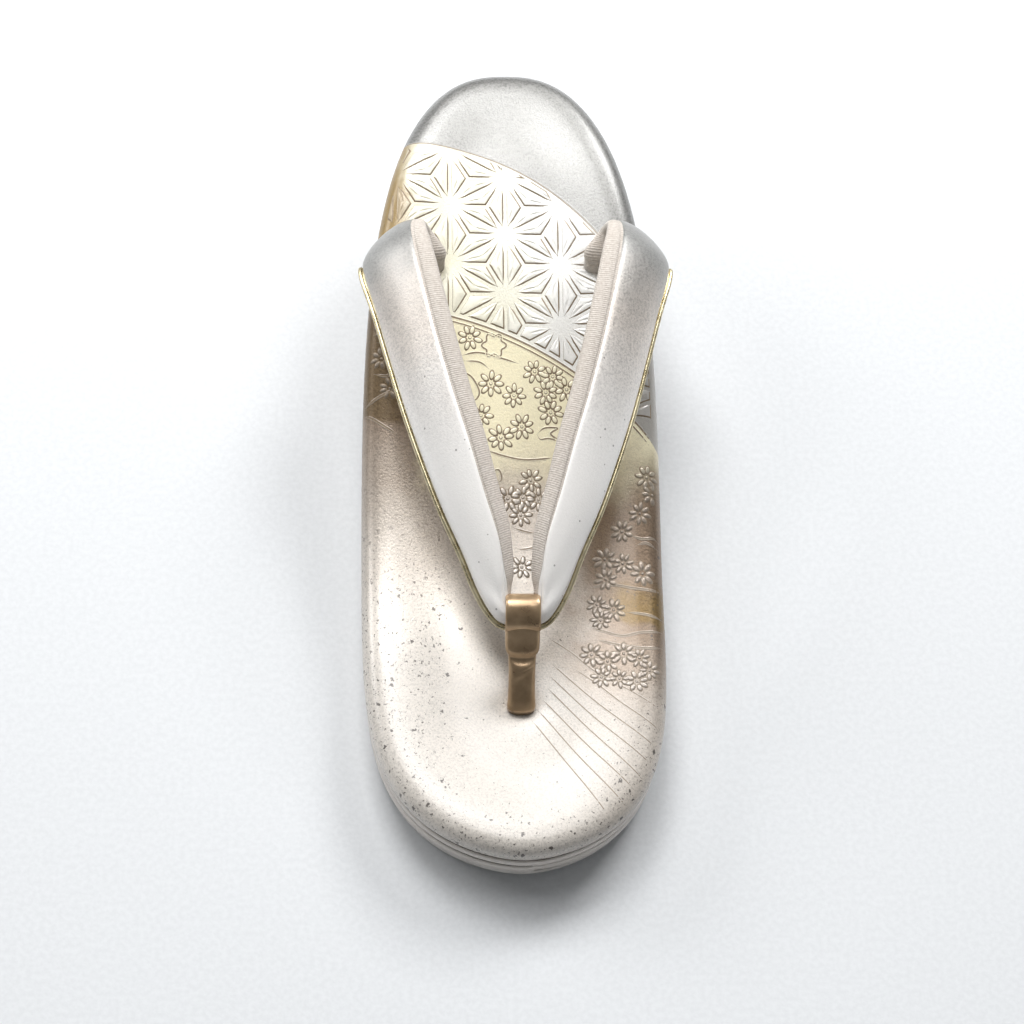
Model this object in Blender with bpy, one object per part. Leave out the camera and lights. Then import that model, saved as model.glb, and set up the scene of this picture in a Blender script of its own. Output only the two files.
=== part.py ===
"""Zori sandal, left shoe of a pair: a padded footbed on two wrapped tiers and a thin outsole,
with a V-shaped padded strap, its piping and the toe post.

Units are metres. The toe points along -Y, the heel along +Y, up is +Z, and -X is the
medial side (the side of the big toe). The origin is the middle of the bounding box, on the floor.
"""

import math

import bmesh
import bpy
from mathutils import Vector

MM = 0.001

# Outline of the sole, seen from above
SOLE_LENGTH = 243.5 * MM
SOLE_WIDTH = 87.9 * MM
WIDEST_FROM_TOE = 93.7 * MM
TOE_DRIFT = 1.7 * MM

# Powers of the outline's two rounded halves, across and along the sole: (x/a)**m + (y/b)**n = 1
TOE_POWER_ACROSS = 1.75
TOE_POWER_ALONG = 4.6
HEEL_POWER_ACROSS = 2.5
HEEL_POWER_ALONG = 2.95

# Layers, from the floor up, as they are under the ball of the foot
OUTSOLE_THICKNESS = 2.6 * MM
LOWER_TIER_THICKNESS = 4.9 * MM
UPPER_TIER_THICKNESS = 4.1 * MM
FOOTBED_THICKNESS = 9.3 * MM
LOWER_TIER_RISE = 16.5 * MM
UPPER_TIER_RISE = 11.0 * MM
TOE_SPRING = 3.3 * MM
ARCH_HEIGHT = 3.0 * MM
FOOTBED_DISH = 1.2 * MM
FIT_GAP = 0.3 * MM

# Edges of the layers, measured in from the outline
ROLL_WIDTH = 10.0 * MM
TIER_INSET = 0.5 * MM
TIER_BULGE = 1.0 * MM
OUTSOLE_INSET = 1.3 * MM

# Places along the sole, as shares of its length from the toe
SPRING_END = 0.19
WEDGE_START = 0.293
WEDGE_END = 0.914
ARCH_START = 0.375
ARCH_END = 0.69

# Strap
STRAP_AXIS = 1.5 * MM
STRAP_SPREAD = 44.8 * MM
STRAP_LIFT = 31.8 * MM
STRAP_THICKNESS = 7.0 * MM
STRAP_HOLE_FROM_HEEL = 65.6 * MM
STRAP_HOLE_SPREAD = 25.0 * MM
TAIL_WIDTH = 8.6 * MM
TAIL_THICKNESS = 4.6 * MM
PIPING_RADIUS = 1.0 * MM

# Toe post
POST_FROM_TOE = 45.8 * MM
POST_LEAN = 18.4 * MM
POST_WIDTH = 9.4 * MM
POST_THICKNESS = 5.0 * MM
LOOP_WALL = 1.9 * MM
LOOP_SQUARENESS = 0.5

# Mesh density
OUTLINE_POINTS = 80
STEPS_PER_ROW = 2
PIPING_SIDES = 8
ELLIPSE_SIDES = 20

# Rolled edge of the footbed: inset as a share of ROLL_WIDTH, height as a share of
# FOOTBED_THICKNESS
FOOTBED_EDGE = (
    # inset, height
    (0.16, 0.00),
    (0.05, 0.20),
    (0.00, 0.44),
    (0.06, 0.66),
    (0.22, 0.85),
    (0.45, 0.96),
    (0.78, 1.00),
)

# Rings of the footbed inside its crest: share of the way out from the middle line
FOOTBED_RINGS = (0.82, 0.62, 0.42, 0.22, 0.08)

# Side of a wrapped tier: inset as a share of TIER_BULGE, height as a share of the thickness
TIER_EDGE = (
    # inset, height
    (1.00, 0.00),
    (0.25, 0.16),
    (0.00, 0.50),
    (0.25, 0.84),
    (1.00, 1.00),
)

# Side of the outsole, in the same way
OUTSOLE_EDGE = (
    # inset, height
    (0.50, 0.00),
    (0.00, 0.30),
    (0.00, 1.00),
)

# Half of the strap, from the bar behind the toe post to the end of its tail. Each row is one
# section, from the outer (lower) edge to the inner (upper) edge. Columns with "out" are shares
# of STRAP_SPREAD sideways from the strap's axis, "back" shares of the run from the front of the
# strap to its rear holes, "lift" shares of STRAP_LIFT above the crest of the footbed, "thick"
# shares of STRAP_THICKNESS.
STRAP_ROWS = (
    # outer_out, outer_back, outer_lift, inner_out, inner_back, inner_lift, thick
    (0.000, 0.000, 0.453, 0.000, 0.044, 0.610, 0.74),
    (0.116, 0.002, 0.453, 0.123, 0.046, 0.610, 0.76),
    (0.192, 0.025, 0.478, 0.134, 0.072, 0.648, 0.86),
    (0.279, 0.083, 0.531, 0.062, 0.116, 0.726, 0.98),
    (0.373, 0.171, 0.610, 0.084, 0.208, 0.862, 1.02),
    (0.498, 0.280, 0.664, 0.158, 0.314, 0.953, 1.00),
    (0.612, 0.399, 0.670, 0.234, 0.428, 1.000, 1.00),
    (0.723, 0.531, 0.619, 0.326, 0.551, 0.987, 1.00),
    (0.826, 0.676, 0.513, 0.413, 0.683, 0.931, 1.00),
    (0.920, 0.815, 0.403, 0.491, 0.819, 0.824, 0.98),
    (1.000, 0.929, 0.286, 0.556, 0.946, 0.673, 0.92),
)

# Rear end of the strap, where it folds over and down to its tail. "out" and "back" are
# measured from the tail's hole in shares of STRAP_SPREAD and STRAP_THICKNESS.
FOLD_ROWS = (
    # outer_out, outer_back, outer_lift, inner_out, inner_back, inner_lift, thick
    (0.428, -0.37, 0.208, 0.033, 0.20, 0.557, 0.86),
    (0.330, 0.34, 0.150, 0.036, 0.80, 0.410, 0.80),
    (0.205, 0.66, 0.118, 0.000, 0.86, 0.250, 0.72),
)

# Section of the strap: across from the outer to the inner edge, height over the line between
# the edges as a share of the thickness, and the turn (in half circles) of the same point on
# the round tail. The dip near the inner edge is where the cover ends and the lining shows.
STRAP_PROFILE = (
    # across, height, turn
    (0.000, -0.05, 0.00),
    (0.035, 0.17, 0.12),
    (0.130, 0.40, 0.25),
    (0.280, 0.56, 0.38),
    (0.470, 0.64, 0.50),
    (0.640, 0.61, 0.60),
    (0.760, 0.52, 0.70),
    (0.800, 0.41, 0.78),
    (0.840, 0.44, 0.85),
    (0.940, 0.29, 0.93),
    (1.000, 0.04, 1.00),
    (0.970, -0.20, 1.15),
    (0.820, -0.33, 1.33),
    (0.500, -0.36, 1.50),
    (0.180, -0.33, 1.67),
    (0.040, -0.22, 1.85),
)

# Stem of the toe post between the loop and the footbed: place along the way down, width as a
# share of POST_WIDTH, thickness as a share of POST_THICKNESS
STEM_ROWS = (
    # down, width, thick
    (0.00, 0.97, 1.12),
    (0.26, 0.95, 1.00),
    (0.44, 0.92, 0.94),
    (0.50, 0.82, 0.78),
    (0.57, 0.86, 0.94),
    (0.72, 0.88, 1.00),
    (0.86, 0.90, 1.00),
)


def material(name, red, green, blue, roughness, metallic):
    """A plain Principled material."""
    made = bpy.data.materials.new(name)
    made.use_nodes = True
    shader = made.node_tree.nodes["Principled BSDF"]
    shader.inputs["Base Color"].default_value = (red, green, blue, 1.0)
    shader.inputs["Roughness"].default_value = roughness
    shader.inputs["Metallic"].default_value = metallic
    made.diffuse_color = (red, green, blue, 1.0)
    return made


def mesh_object(name, points, faces, finish, parent):
    """A closed, smooth-shaded mesh object with its faces pointing out."""
    mesh = bpy.data.meshes.new(name)
    mesh.from_pydata([tuple(point) for point in points], [], faces)
    work = bmesh.new()
    work.from_mesh(mesh)
    bmesh.ops.recalc_face_normals(work, faces=work.faces)
    work.to_mesh(mesh)
    work.free()
    mesh.shade_smooth()
    mesh.set_sharp_from_angle(angle=math.radians(40))
    mesh.materials.append(finish)
    made = bpy.data.objects.new(name, mesh)
    bpy.context.collection.objects.link(made)
    made.parent = parent
    return made


def ease(t):
    """0 to 1 with level ends."""
    t = min(max(t, 0.0), 1.0)
    return 0.5 - 0.5 * math.cos(math.pi * t)


def share_from_toe(y):
    return (y + SOLE_LENGTH / 2) / SOLE_LENGTH


def toe_lift(y):
    """Height of the toe spring at y."""
    t = max((SPRING_END - share_from_toe(y)) / SPRING_END, 0.0)
    return TOE_SPRING * t * t


def wedge(y):
    """Share of the heel's rise at y."""
    return ease((share_from_toe(y) - WEDGE_START) / (WEDGE_END - WEDGE_START))


def ground_height(y):
    """Underside of the outsole: flat at the ball and the heel, hollow at the arch."""
    t = (share_from_toe(y) - ARCH_START) / (ARCH_END - ARCH_START)
    arch = math.sin(math.pi * min(max(t, 0.0), 1.0)) ** 2
    return toe_lift(y) + ARCH_HEIGHT * arch


def outsole_top(y):
    return ground_height(y) + OUTSOLE_THICKNESS


def lower_tier_bottom(y):
    return outsole_top(y) + FIT_GAP


def lower_tier_top(y):
    flat = OUTSOLE_THICKNESS + FIT_GAP + LOWER_TIER_THICKNESS
    return toe_lift(y) + flat + LOWER_TIER_RISE * wedge(y)


def upper_tier_bottom(y):
    return lower_tier_top(y) + FIT_GAP


def upper_tier_top(y):
    return upper_tier_bottom(y) + UPPER_TIER_THICKNESS + UPPER_TIER_RISE * wedge(y)


def footbed_bottom(y):
    return upper_tier_top(y) + FIT_GAP


def footbed_crest(y):
    """Top of the rolled edge of the footbed."""
    return footbed_bottom(y) + FOOTBED_THICKNESS


def centre_line(y):
    """Sideways drift of the sole's middle line, toward the lateral side at the toe."""
    widest = WIDEST_FROM_TOE - SOLE_LENGTH / 2
    t = max((widest - y) / WIDEST_FROM_TOE, 0.0)
    return TOE_DRIFT * t * t


def outline_curve(turn):
    """A point of the outline; turn 0 is the middle of the toe, 0.5 the middle of the heel."""
    angle = 2 * math.pi * turn
    toe_side = math.cos(angle) > 0
    power_across = TOE_POWER_ACROSS if toe_side else HEEL_POWER_ACROSS
    power_along = TOE_POWER_ALONG if toe_side else HEEL_POWER_ALONG
    reach = WIDEST_FROM_TOE if toe_side else SOLE_LENGTH - WIDEST_FROM_TOE
    across = abs(math.sin(angle)) ** (2 / power_across)
    along = abs(math.cos(angle)) ** (2 / power_along)
    widest = WIDEST_FROM_TOE - SOLE_LENGTH / 2
    y = widest - reach * along if toe_side else widest + reach * along
    x = math.copysign(SOLE_WIDTH / 2 * across, math.sin(angle))
    return Vector((x, y))


def even_outline():
    """Outline points at even steps, with the middle of the toe first and of the heel halfway.
    Points i and -i are a pair with the same y."""
    fine = 1200
    half = OUTLINE_POINTS // 2
    curve = [outline_curve(0.5 * i / fine) for i in range(fine + 1)]
    curve[0].x = 0.0
    curve[-1].x = 0.0
    lengths = [0.0]
    for before, after in zip(curve, curve[1:]):
        lengths.append(lengths[-1] + (after - before).length)
    points = []
    place = 0
    for i in range(half + 1):
        goal = lengths[-1] * i / half
        while place < fine - 1 and lengths[place + 1] < goal:
            place += 1
        span = lengths[place + 1] - lengths[place]
        points.append(curve[place].lerp(curve[place + 1], (goal - lengths[place]) / span))
    points[0] = curve[0]
    points[-1] = curve[-1]
    return points + [Vector((-p.x, p.y)) for p in reversed(points[1:-1])]


OUTLINE = even_outline()


def outline_inset(inset):
    """The outline moved in by a distance, with the sole's drift added."""
    count = len(OUTLINE)
    moved = []
    for i, point in enumerate(OUTLINE):
        ahead = OUTLINE[(i + 1) % count]
        behind = OUTLINE[i - 1]
        run = (ahead - behind).normalized()
        inward = Vector((-run.y, run.x))
        place = point + inward * inset
        if i in (0, count // 2):
            place.x = 0.0
        moved.append(Vector((place.x + centre_line(place.y), place.y)))
    return moved


def shrunk_ring(ring, share):
    """A ring drawn in toward the sole's middle line."""
    toe_end = -SOLE_LENGTH / 2 + SOLE_WIDTH / 2
    heel_end = SOLE_LENGTH / 2 - SOLE_WIDTH / 2
    drawn = []
    for point in ring:
        y = min(max(point.y, toe_end), heel_end)
        middle = Vector((centre_line(y), y))
        drawn.append(middle.lerp(point, share))
    return drawn


def stacked_rings(name, rings, finish, parent):
    """A closed body from rings of equal count, bottom first. Both ends are closed by strips
    that run straight across the shoe."""
    count = len(rings[0])
    half = count // 2
    points = [point for ring in rings for point in ring]
    faces = []
    for level in range(len(rings) - 1):
        for i in range(count):
            a = level * count + i
            b = level * count + (i + 1) % count
            faces.append((a, b, b + count, a + count))
    for start in (0, (len(rings) - 1) * count):
        faces.append((start, start + 1, start + count - 1))
        for i in range(1, half - 1):
            faces.append((start + i, start + i + 1, start + count - i - 1, start + count - i))
        faces.append((start + half - 1, start + half, start + half + 1))
    return mesh_object(name, points, faces, finish, parent)


def side_rings(edge, bottom, top, inset, bulge):
    """Rings up the side of a layer between two heights that follow the sole."""
    rings = []
    for inset_share, height_share in edge:
        ring = []
        for flat in outline_inset(inset + inset_share * bulge):
            low = bottom(flat.y)
            ring.append(Vector((flat.x, flat.y, low + height_share * (top(flat.y) - low))))
        rings.append(ring)
    return rings


def footbed_rings():
    """The footbed: rolled edge up to the crest, then a shallow dish."""
    rings = side_rings(FOOTBED_EDGE, footbed_bottom, footbed_crest, 0.0, ROLL_WIDTH)
    crest = [Vector((point.x, point.y)) for point in rings[-1]]
    for share in FOOTBED_RINGS:
        depth = FOOTBED_DISH * ease((1 - share) / 0.7)
        flat_ring = shrunk_ring(crest, share)
        rings.append([Vector((p.x, p.y, footbed_crest(p.y) - depth)) for p in flat_ring])
    return rings


def loft(name, sections, closed, finish, parent):
    """A closed body through sections of equal count; closed joins the last to the first."""
    count = len(sections[0])
    points = [point for section in sections for point in section]
    faces = []
    spans = len(sections) if closed else len(sections) - 1
    for k in range(spans):
        here = k * count
        there = ((k + 1) % len(sections)) * count
        for i in range(count):
            j = (i + 1) % count
            faces.append((here + i, here + j, there + j, there + i))
    if not closed:
        faces.append(tuple(range(count)))
        last = (len(sections) - 1) * count
        faces.append(tuple(range(last, last + count)))
    return mesh_object(name, points, faces, finish, parent)


def smooth_rows(rows, steps):
    """Rows of numbers with even steps added between them on a smooth curve."""
    made = []
    for k in range(len(rows) - 1):
        before = rows[max(k - 1, 0)]
        here = rows[k]
        there = rows[k + 1]
        after = rows[min(k + 2, len(rows) - 1)]
        for step in range(steps):
            t = step / steps
            row = []
            for p0, p1, p2, p3 in zip(before, here, there, after):
                curve = (2 * p0 - 5 * p1 + 4 * p2 - p3) * t * t + (3 * p1 - p0 - 3 * p2 + p3) * t**3
                row.append(p1 + 0.5 * ((p2 - p0) * t + curve))
            made.append(tuple(row))
    made.append(tuple(rows[-1]))
    return made


POST_Y = -SOLE_LENGTH / 2 + POST_FROM_TOE
STRAP_HOLE_Y = SOLE_LENGTH / 2 - STRAP_HOLE_FROM_HEEL
STRAP_FRONT_Y = POST_Y + POST_LEAN


def strap_half_rows():
    """Half of the strap as rows (outer x, y, z, inner x, y, z, thickness, roundness), with x
    counted sideways from the strap's axis."""
    run = STRAP_HOLE_Y - STRAP_FRONT_Y
    rows = []
    for out_a, back_a, lift_a, out_b, back_b, lift_b, thick in STRAP_ROWS:
        y_a = STRAP_FRONT_Y + back_a * run
        y_b = STRAP_FRONT_Y + back_b * run
        outer = (out_a * STRAP_SPREAD, y_a, footbed_crest(y_a) + lift_a * STRAP_LIFT)
        inner = (out_b * STRAP_SPREAD, y_b, footbed_crest(y_b) + lift_b * STRAP_LIFT)
        rows.append(outer + inner + (thick * STRAP_THICKNESS, 0.0))
    for out_a, back_a, lift_a, out_b, back_b, lift_b, thick in FOLD_ROWS:
        y_a = STRAP_HOLE_Y + back_a * STRAP_THICKNESS
        y_b = STRAP_HOLE_Y + back_b * STRAP_THICKNESS
        x_a = STRAP_HOLE_SPREAD + out_a * STRAP_SPREAD
        x_b = STRAP_HOLE_SPREAD + out_b * STRAP_SPREAD
        outer = (x_a, y_a, footbed_crest(y_a) + lift_a * STRAP_LIFT)
        inner = (x_b, y_b, footbed_crest(y_b) + lift_b * STRAP_LIFT)
        rows.append(outer + inner + (thick * STRAP_THICKNESS, 0.3))
    crest = footbed_crest(STRAP_HOLE_Y)
    outer_x = STRAP_HOLE_SPREAD + TAIL_WIDTH / 2
    inner_x = STRAP_HOLE_SPREAD - TAIL_WIDTH / 2
    bend_y = STRAP_HOLE_Y + 0.35 * TAIL_THICKNESS
    rows.append((outer_x, bend_y, crest + 1.0 * TAIL_THICKNESS)
                + (inner_x, bend_y, crest + 1.2 * TAIL_THICKNESS)
                + (TAIL_THICKNESS, 0.8))
    for depth in (-0.22, 0.2, 0.6, 1.0):
        z = crest - depth * FOOTBED_THICKNESS
        rows.append((outer_x, STRAP_HOLE_Y, z, inner_x, STRAP_HOLE_Y, z, TAIL_THICKNESS, 1.0))
    return rows


def whole_strap_rows():
    """Rows from the end of the medial tail, over the front bar, to the end of the lateral one."""
    half = strap_half_rows()
    other = [(-r[0], r[1], r[2], -r[3], r[4], r[5], r[6], r[7]) for r in reversed(half[1:])]
    return smooth_rows(other + half, STEPS_PER_ROW)


def strap_frames(rows):
    """For each row: outer edge, unit vector across, unit normal, width, thickness, roundness."""
    axis = Vector((STRAP_AXIS, 0, 0))
    outers = [Vector(row[0:3]) + axis for row in rows]
    inners = [Vector(row[3:6]) + axis for row in rows]
    middles = [a.lerp(b, 0.5) for a, b in zip(outers, inners)]
    frames = []
    for k, row in enumerate(rows):
        ahead = middles[min(k + 1, len(rows) - 1)]
        behind = middles[max(k - 1, 0)]
        across = inners[k] - outers[k]
        normal = (ahead - behind).cross(across).normalized()
        frames.append((outers[k], across.normalized(), normal, across.length, row[6], row[7]))
    return frames


def strap_section(frame):
    """The ring of points of one strap section."""
    outer, across, normal, width, thickness, roundness = frame
    ring = []
    for across_share, height_share, turn in STRAP_PROFILE:
        round_across = 0.5 - 0.5 * math.cos(math.pi * turn)
        round_height = 0.5 * math.sin(math.pi * turn)
        a = across_share + roundness * (round_across - across_share)
        h = height_share + roundness * (round_height - height_share)
        ring.append(outer + across * (a * width) + normal * (h * thickness))
    return ring


def make_strap(finish, parent):
    """Both halves of the strap as one body, with a tail at each end."""
    sections = [strap_section(frame) for frame in strap_frames(whole_strap_rows())]
    for section in (sections[0], sections[-1]):
        for point in section:
            point.z = footbed_bottom(point.y)
    return loft("strap", sections, False, finish, parent)


def piping_frames():
    """Centre line of the piping, with two unit vectors across it, at the strap's outer edge."""
    frames = strap_frames(whole_strap_rows())
    rear_steps = (len(FOLD_ROWS) + 5) * STEPS_PER_ROW - 1
    used = frames[rear_steps:len(frames) - rear_steps]
    made = []
    for outer, across, normal, width, thickness, roundness in used:
        centre = outer - across * (PIPING_RADIUS + FIT_GAP) - normal * (0.12 * thickness)
        made.append((centre, across, normal))
    return made


def make_piping(finish, parent):
    """A round cord sewn along the strap's outer edge, over the front from arm to arm."""
    sections = []
    for centre, across, normal in piping_frames():
        ring = []
        for i in range(PIPING_SIDES):
            angle = 2 * math.pi * (i + 0.5) / PIPING_SIDES
            side = across * math.cos(angle) + normal * math.sin(angle)
            ring.append(centre + side * PIPING_RADIUS)
        sections.append(ring)
    return loft("strap_piping", sections, False, finish, parent)


def bar_frame():
    """Frame of the strap's section on its axis, inside the loop of the post."""
    frames = strap_frames(whole_strap_rows())
    return frames[len(frames) // 2]


def make_loop(finish, parent):
    """The band of the post that wraps the strap and its piping at the front."""
    outer, across, normal, width, thickness, roundness = bar_frame()
    low = -(2 * PIPING_RADIUS + 3 * FIT_GAP)
    high = width + FIT_GAP
    under = -0.36 * thickness - FIT_GAP
    over = 0.64 * thickness + FIT_GAP
    middle = outer + across * ((low + high) / 2) + normal * ((under + over) / 2)
    sections = []
    sides = 20
    half = POST_WIDTH / 2
    round_off = 0.3 * LOOP_WALL
    for i in range(sides):
        angle = 2 * math.pi * i / sides
        bend_a = math.copysign(abs(math.cos(angle)) ** LOOP_SQUARENESS, math.cos(angle))
        bend_n = math.copysign(abs(math.sin(angle)) ** LOOP_SQUARENESS, math.sin(angle))
        ring = []
        for x, wall in ((-half, round_off), (-half, LOOP_WALL - round_off),
                        (-half + round_off, LOOP_WALL), (half - round_off, LOOP_WALL),
                        (half, LOOP_WALL - round_off), (half, round_off),
                        (half - round_off, 0.0), (-half + round_off, 0.0)):
            reach_a = (high - low) / 2 + wall
            reach_n = (over - under) / 2 + wall
            place = middle + across * (bend_a * reach_a) + normal * (bend_n * reach_n)
            ring.append(place + Vector((x, 0, 0)))
        sections.append(ring)
    return loft("toe_post", sections, True, finish, parent)


def make_stem(finish, parent):
    """The stem of the post, from the loop down into the footbed."""
    outer, across, normal, width, thickness, roundness = bar_frame()
    start = outer - across * (2 * PIPING_RADIUS + 2 * FIT_GAP + 0.45 * LOOP_WALL)
    start += normal * (0.14 * thickness)
    crest = footbed_crest(POST_Y)
    entry = Vector((start.x, POST_Y, crest))
    knee = entry + across * (0.35 * POST_LEAN)
    sections = []

    def section(centre, side, wide, thick):
        ring = []
        for i in range(ELLIPSE_SIDES):
            angle = 2 * math.pi * i / ELLIPSE_SIDES
            x = math.copysign(abs(math.cos(angle)) ** 0.8, math.cos(angle)) * wide / 2
            ring.append(centre + Vector((x, 0, 0)) + side * (math.sin(angle) * thick / 2))
        sections.append(ring)

    for down, wide, thick in STEM_ROWS:
        centre = start.lerp(knee, min(down / 0.72, 1.0))
        turn = max(down - 0.72, 0.0) / 0.28
        centre = centre.lerp(entry, turn)
        side = normal.lerp(Vector((0, -1, 0)), turn).normalized()
        section(centre, side, wide * POST_WIDTH, thick * POST_THICKNESS)
    for depth in (-0.05, 0.5, 1.0):
        centre = entry - Vector((0, 0, depth * FOOTBED_THICKNESS))
        section(centre, Vector((0, -1, 0)), 0.92 * POST_WIDTH, POST_THICKNESS)
    for point in sections[-1]:
        point.z = footbed_bottom(point.y)
    return loft("toe_post_stem", sections, False, finish, parent)


def hole_cutter(name, x, y, width, thickness, power, parent):
    """A guide body for a hole through the footbed, wider than what passes by FIT_GAP."""
    points = []
    for z in (footbed_bottom(y) - FOOTBED_THICKNESS, footbed_crest(y) + FOOTBED_THICKNESS):
        for i in range(ELLIPSE_SIDES):
            angle = 2 * math.pi * i / ELLIPSE_SIDES
            bend = math.copysign(abs(math.cos(angle)) ** power, math.cos(angle))
            along_x = bend * (width / 2 + FIT_GAP)
            along_y = math.sin(angle) * (thickness / 2 + FIT_GAP)
            points.append((x + along_x, y + along_y, z))
    count = ELLIPSE_SIDES
    faces = [tuple(range(count)), tuple(range(count, 2 * count))]
    for i in range(count):
        j = (i + 1) % count
        faces.append((i, j, count + j, count + i))
    cutter = mesh_object(name, points, faces, bpy.data.materials["cutter"], parent)
    cutter.hide_render = True
    cutter.display_type = "WIRE"
    return cutter


def cut(target, cutter, operation):
    """Adds an exact Boolean to the target."""
    boolean = target.modifiers.new(cutter.name, "BOOLEAN")
    boolean.object = cutter
    boolean.operation = operation
    boolean.solver = "EXACT"


def centre_on_floor(root, objects):
    """Moves the root so that the origin is the middle of the bounding box, on the floor."""
    bpy.context.view_layer.update()
    corners = [made.matrix_world @ Vector(c) for made in objects for c in made.bound_box]
    low = [min(c[i] for c in corners) for i in range(3)]
    high = [max(c[i] for c in corners) for i in range(3)]
    root.location -= Vector(((low[0] + high[0]) / 2, (low[1] + high[1]) / 2, low[2]))
    bpy.context.view_layer.update()


def build():
    for old in list(bpy.data.objects):
        bpy.data.objects.remove(old, do_unlink=True)

    pearl = material("pearl_leather", 0.80, 0.75, 0.70, 0.32, 0.15)
    side_wrap = material("side_wrap_leather", 0.70, 0.64, 0.60, 0.40, 0.10)
    rubber = material("outsole_rubber", 0.52, 0.48, 0.45, 0.60, 0.0)
    strap_leather = material("strap_leather", 0.68, 0.62, 0.57, 0.35, 0.25)
    gold = material("gold_piping", 0.72, 0.56, 0.30, 0.22, 0.8)
    bronze = material("gold_bronze_leather", 0.50, 0.38, 0.22, 0.30, 0.6)
    material("cutter", 0.5, 0.5, 0.5, 0.5, 0.0)

    root = bpy.data.objects.new("sandal", None)
    bpy.context.collection.objects.link(root)

    # Sole: outsole, two wrapped tiers and the padded footbed
    outsole_rings = side_rings(OUTSOLE_EDGE, ground_height, outsole_top,
                               OUTSOLE_INSET, TIER_BULGE)
    outsole = stacked_rings("outsole", outsole_rings, rubber, root)
    lower_rings = side_rings(TIER_EDGE, lower_tier_bottom, lower_tier_top,
                             TIER_INSET, TIER_BULGE)
    lower_tier = stacked_rings("lower_tier", lower_rings, side_wrap, root)
    upper_rings = side_rings(TIER_EDGE, upper_tier_bottom, upper_tier_top,
                             TIER_INSET, TIER_BULGE)
    upper_tier = stacked_rings("upper_tier", upper_rings, side_wrap, root)
    footbed = stacked_rings("footbed", footbed_rings(), pearl, root)

    # Strap with its tails and piping
    strap = make_strap(strap_leather, root)
    piping = make_piping(gold, root)

    # Toe post: the loop round the strap, joined to its stem
    post = make_loop(bronze, root)
    stem = make_stem(bronze, root)
    stem.hide_render = True
    stem.display_type = "WIRE"
    cut(post, stem, "UNION")

    # Holes of the footbed for the post and the tails
    post_cutter = hole_cutter("post_hole", STRAP_AXIS, POST_Y, 0.92 * POST_WIDTH,
                              POST_THICKNESS, 0.8, root)
    cut(footbed, post_cutter, "DIFFERENCE")
    for side, name in ((-1, "medial_tail_hole"), (1, "lateral_tail_hole")):
        tail_cutter = hole_cutter(name, STRAP_AXIS + side * STRAP_HOLE_SPREAD, STRAP_HOLE_Y,
                                  TAIL_WIDTH, TAIL_THICKNESS, 1.0, root)
        cut(footbed, tail_cutter, "DIFFERENCE")

    centre_on_floor(root, [outsole, lower_tier, upper_tier, footbed, strap, piping, post])


build()
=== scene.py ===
# %% [markdown]
# # Dressing a zori sandal
#
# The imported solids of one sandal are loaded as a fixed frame. Each lesson below takes one
# piece of the real sandal, says what it is, and builds the surface and the finish that the
# plain solid lacks. Everything is worked out in millimetres, because that is how a maker
# measures a sandal, and one function turns it into metres.

# %% Load the frame
import math
import random

import bmesh
import bpy
from mathutils import Matrix, Vector
from mathutils.bvhtree import BVHTree


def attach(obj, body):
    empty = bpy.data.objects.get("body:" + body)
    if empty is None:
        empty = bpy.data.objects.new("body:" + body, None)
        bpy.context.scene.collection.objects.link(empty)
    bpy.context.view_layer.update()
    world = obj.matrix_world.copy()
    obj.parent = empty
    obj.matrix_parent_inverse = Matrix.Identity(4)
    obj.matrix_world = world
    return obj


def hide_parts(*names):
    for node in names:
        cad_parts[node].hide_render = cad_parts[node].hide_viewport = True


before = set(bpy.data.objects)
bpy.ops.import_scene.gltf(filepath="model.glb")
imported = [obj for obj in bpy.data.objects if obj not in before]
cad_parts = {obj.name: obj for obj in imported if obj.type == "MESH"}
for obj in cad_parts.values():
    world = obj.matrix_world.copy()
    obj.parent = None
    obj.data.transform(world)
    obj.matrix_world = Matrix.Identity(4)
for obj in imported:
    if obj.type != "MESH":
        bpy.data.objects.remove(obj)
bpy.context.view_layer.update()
chance = random.Random(7)
print("pieces in the frame:", sorted(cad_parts))


# %% [markdown]
# ## The camera, the floor and the light
#
# The sandal is seen from above the toe, 26 degrees off the vertical, through a long lens.
# The camera stands where the fitted view puts it and is turned about its own upright until
# the one sandal is in the middle. Four soft lights stand round the heel, as in a product
# studio: one behind it, one overhead and one at each side. Metal foil shows mostly what it
# reflects, so their sizes and places are chosen for the bright heel, lattice and strap. The
# plain world around them, brighter toward the heel, gives the grey of the rims.

# %% Camera
# Where the fitted view stands, in millimetres, and how it is turned, in degrees
EYE = Vector((-44.71, -397.11, 804.93))
TILT, SWING = 26.0, -2.85
FOCAL_LENGTH, SENSOR = 104.6, 36.0

lens = bpy.data.cameras.new("studio_camera")
lens.lens = FOCAL_LENGTH
lens.sensor_width = SENSOR
lens.clip_start = 0.05
camera = bpy.data.objects.new("studio_camera", lens)
bpy.context.collection.objects.link(camera)
turn = Matrix.Rotation(math.radians(TILT), 4, "X") @ Matrix.Rotation(math.radians(SWING), 4, "Y")
camera.matrix_world = Matrix.Translation(0.001 * EYE) @ turn
bpy.context.scene.camera = camera
bpy.context.scene.view_settings.view_transform = "Standard"
print("camera", [round(c) for c in EYE], "mm, lens", FOCAL_LENGTH, "mm")


# %% Small helpers: colours, nodes and meshes
def linear(code):
    """An sRGB hex colour as the linear values that a shader works with."""
    values = [int(code[k:k + 2], 16) / 255 for k in (1, 3, 5)]
    return tuple(v / 12.92 if v < 0.04045 else ((v + 0.055) / 1.055) ** 2.4 for v in values) + (1.0,)


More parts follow.
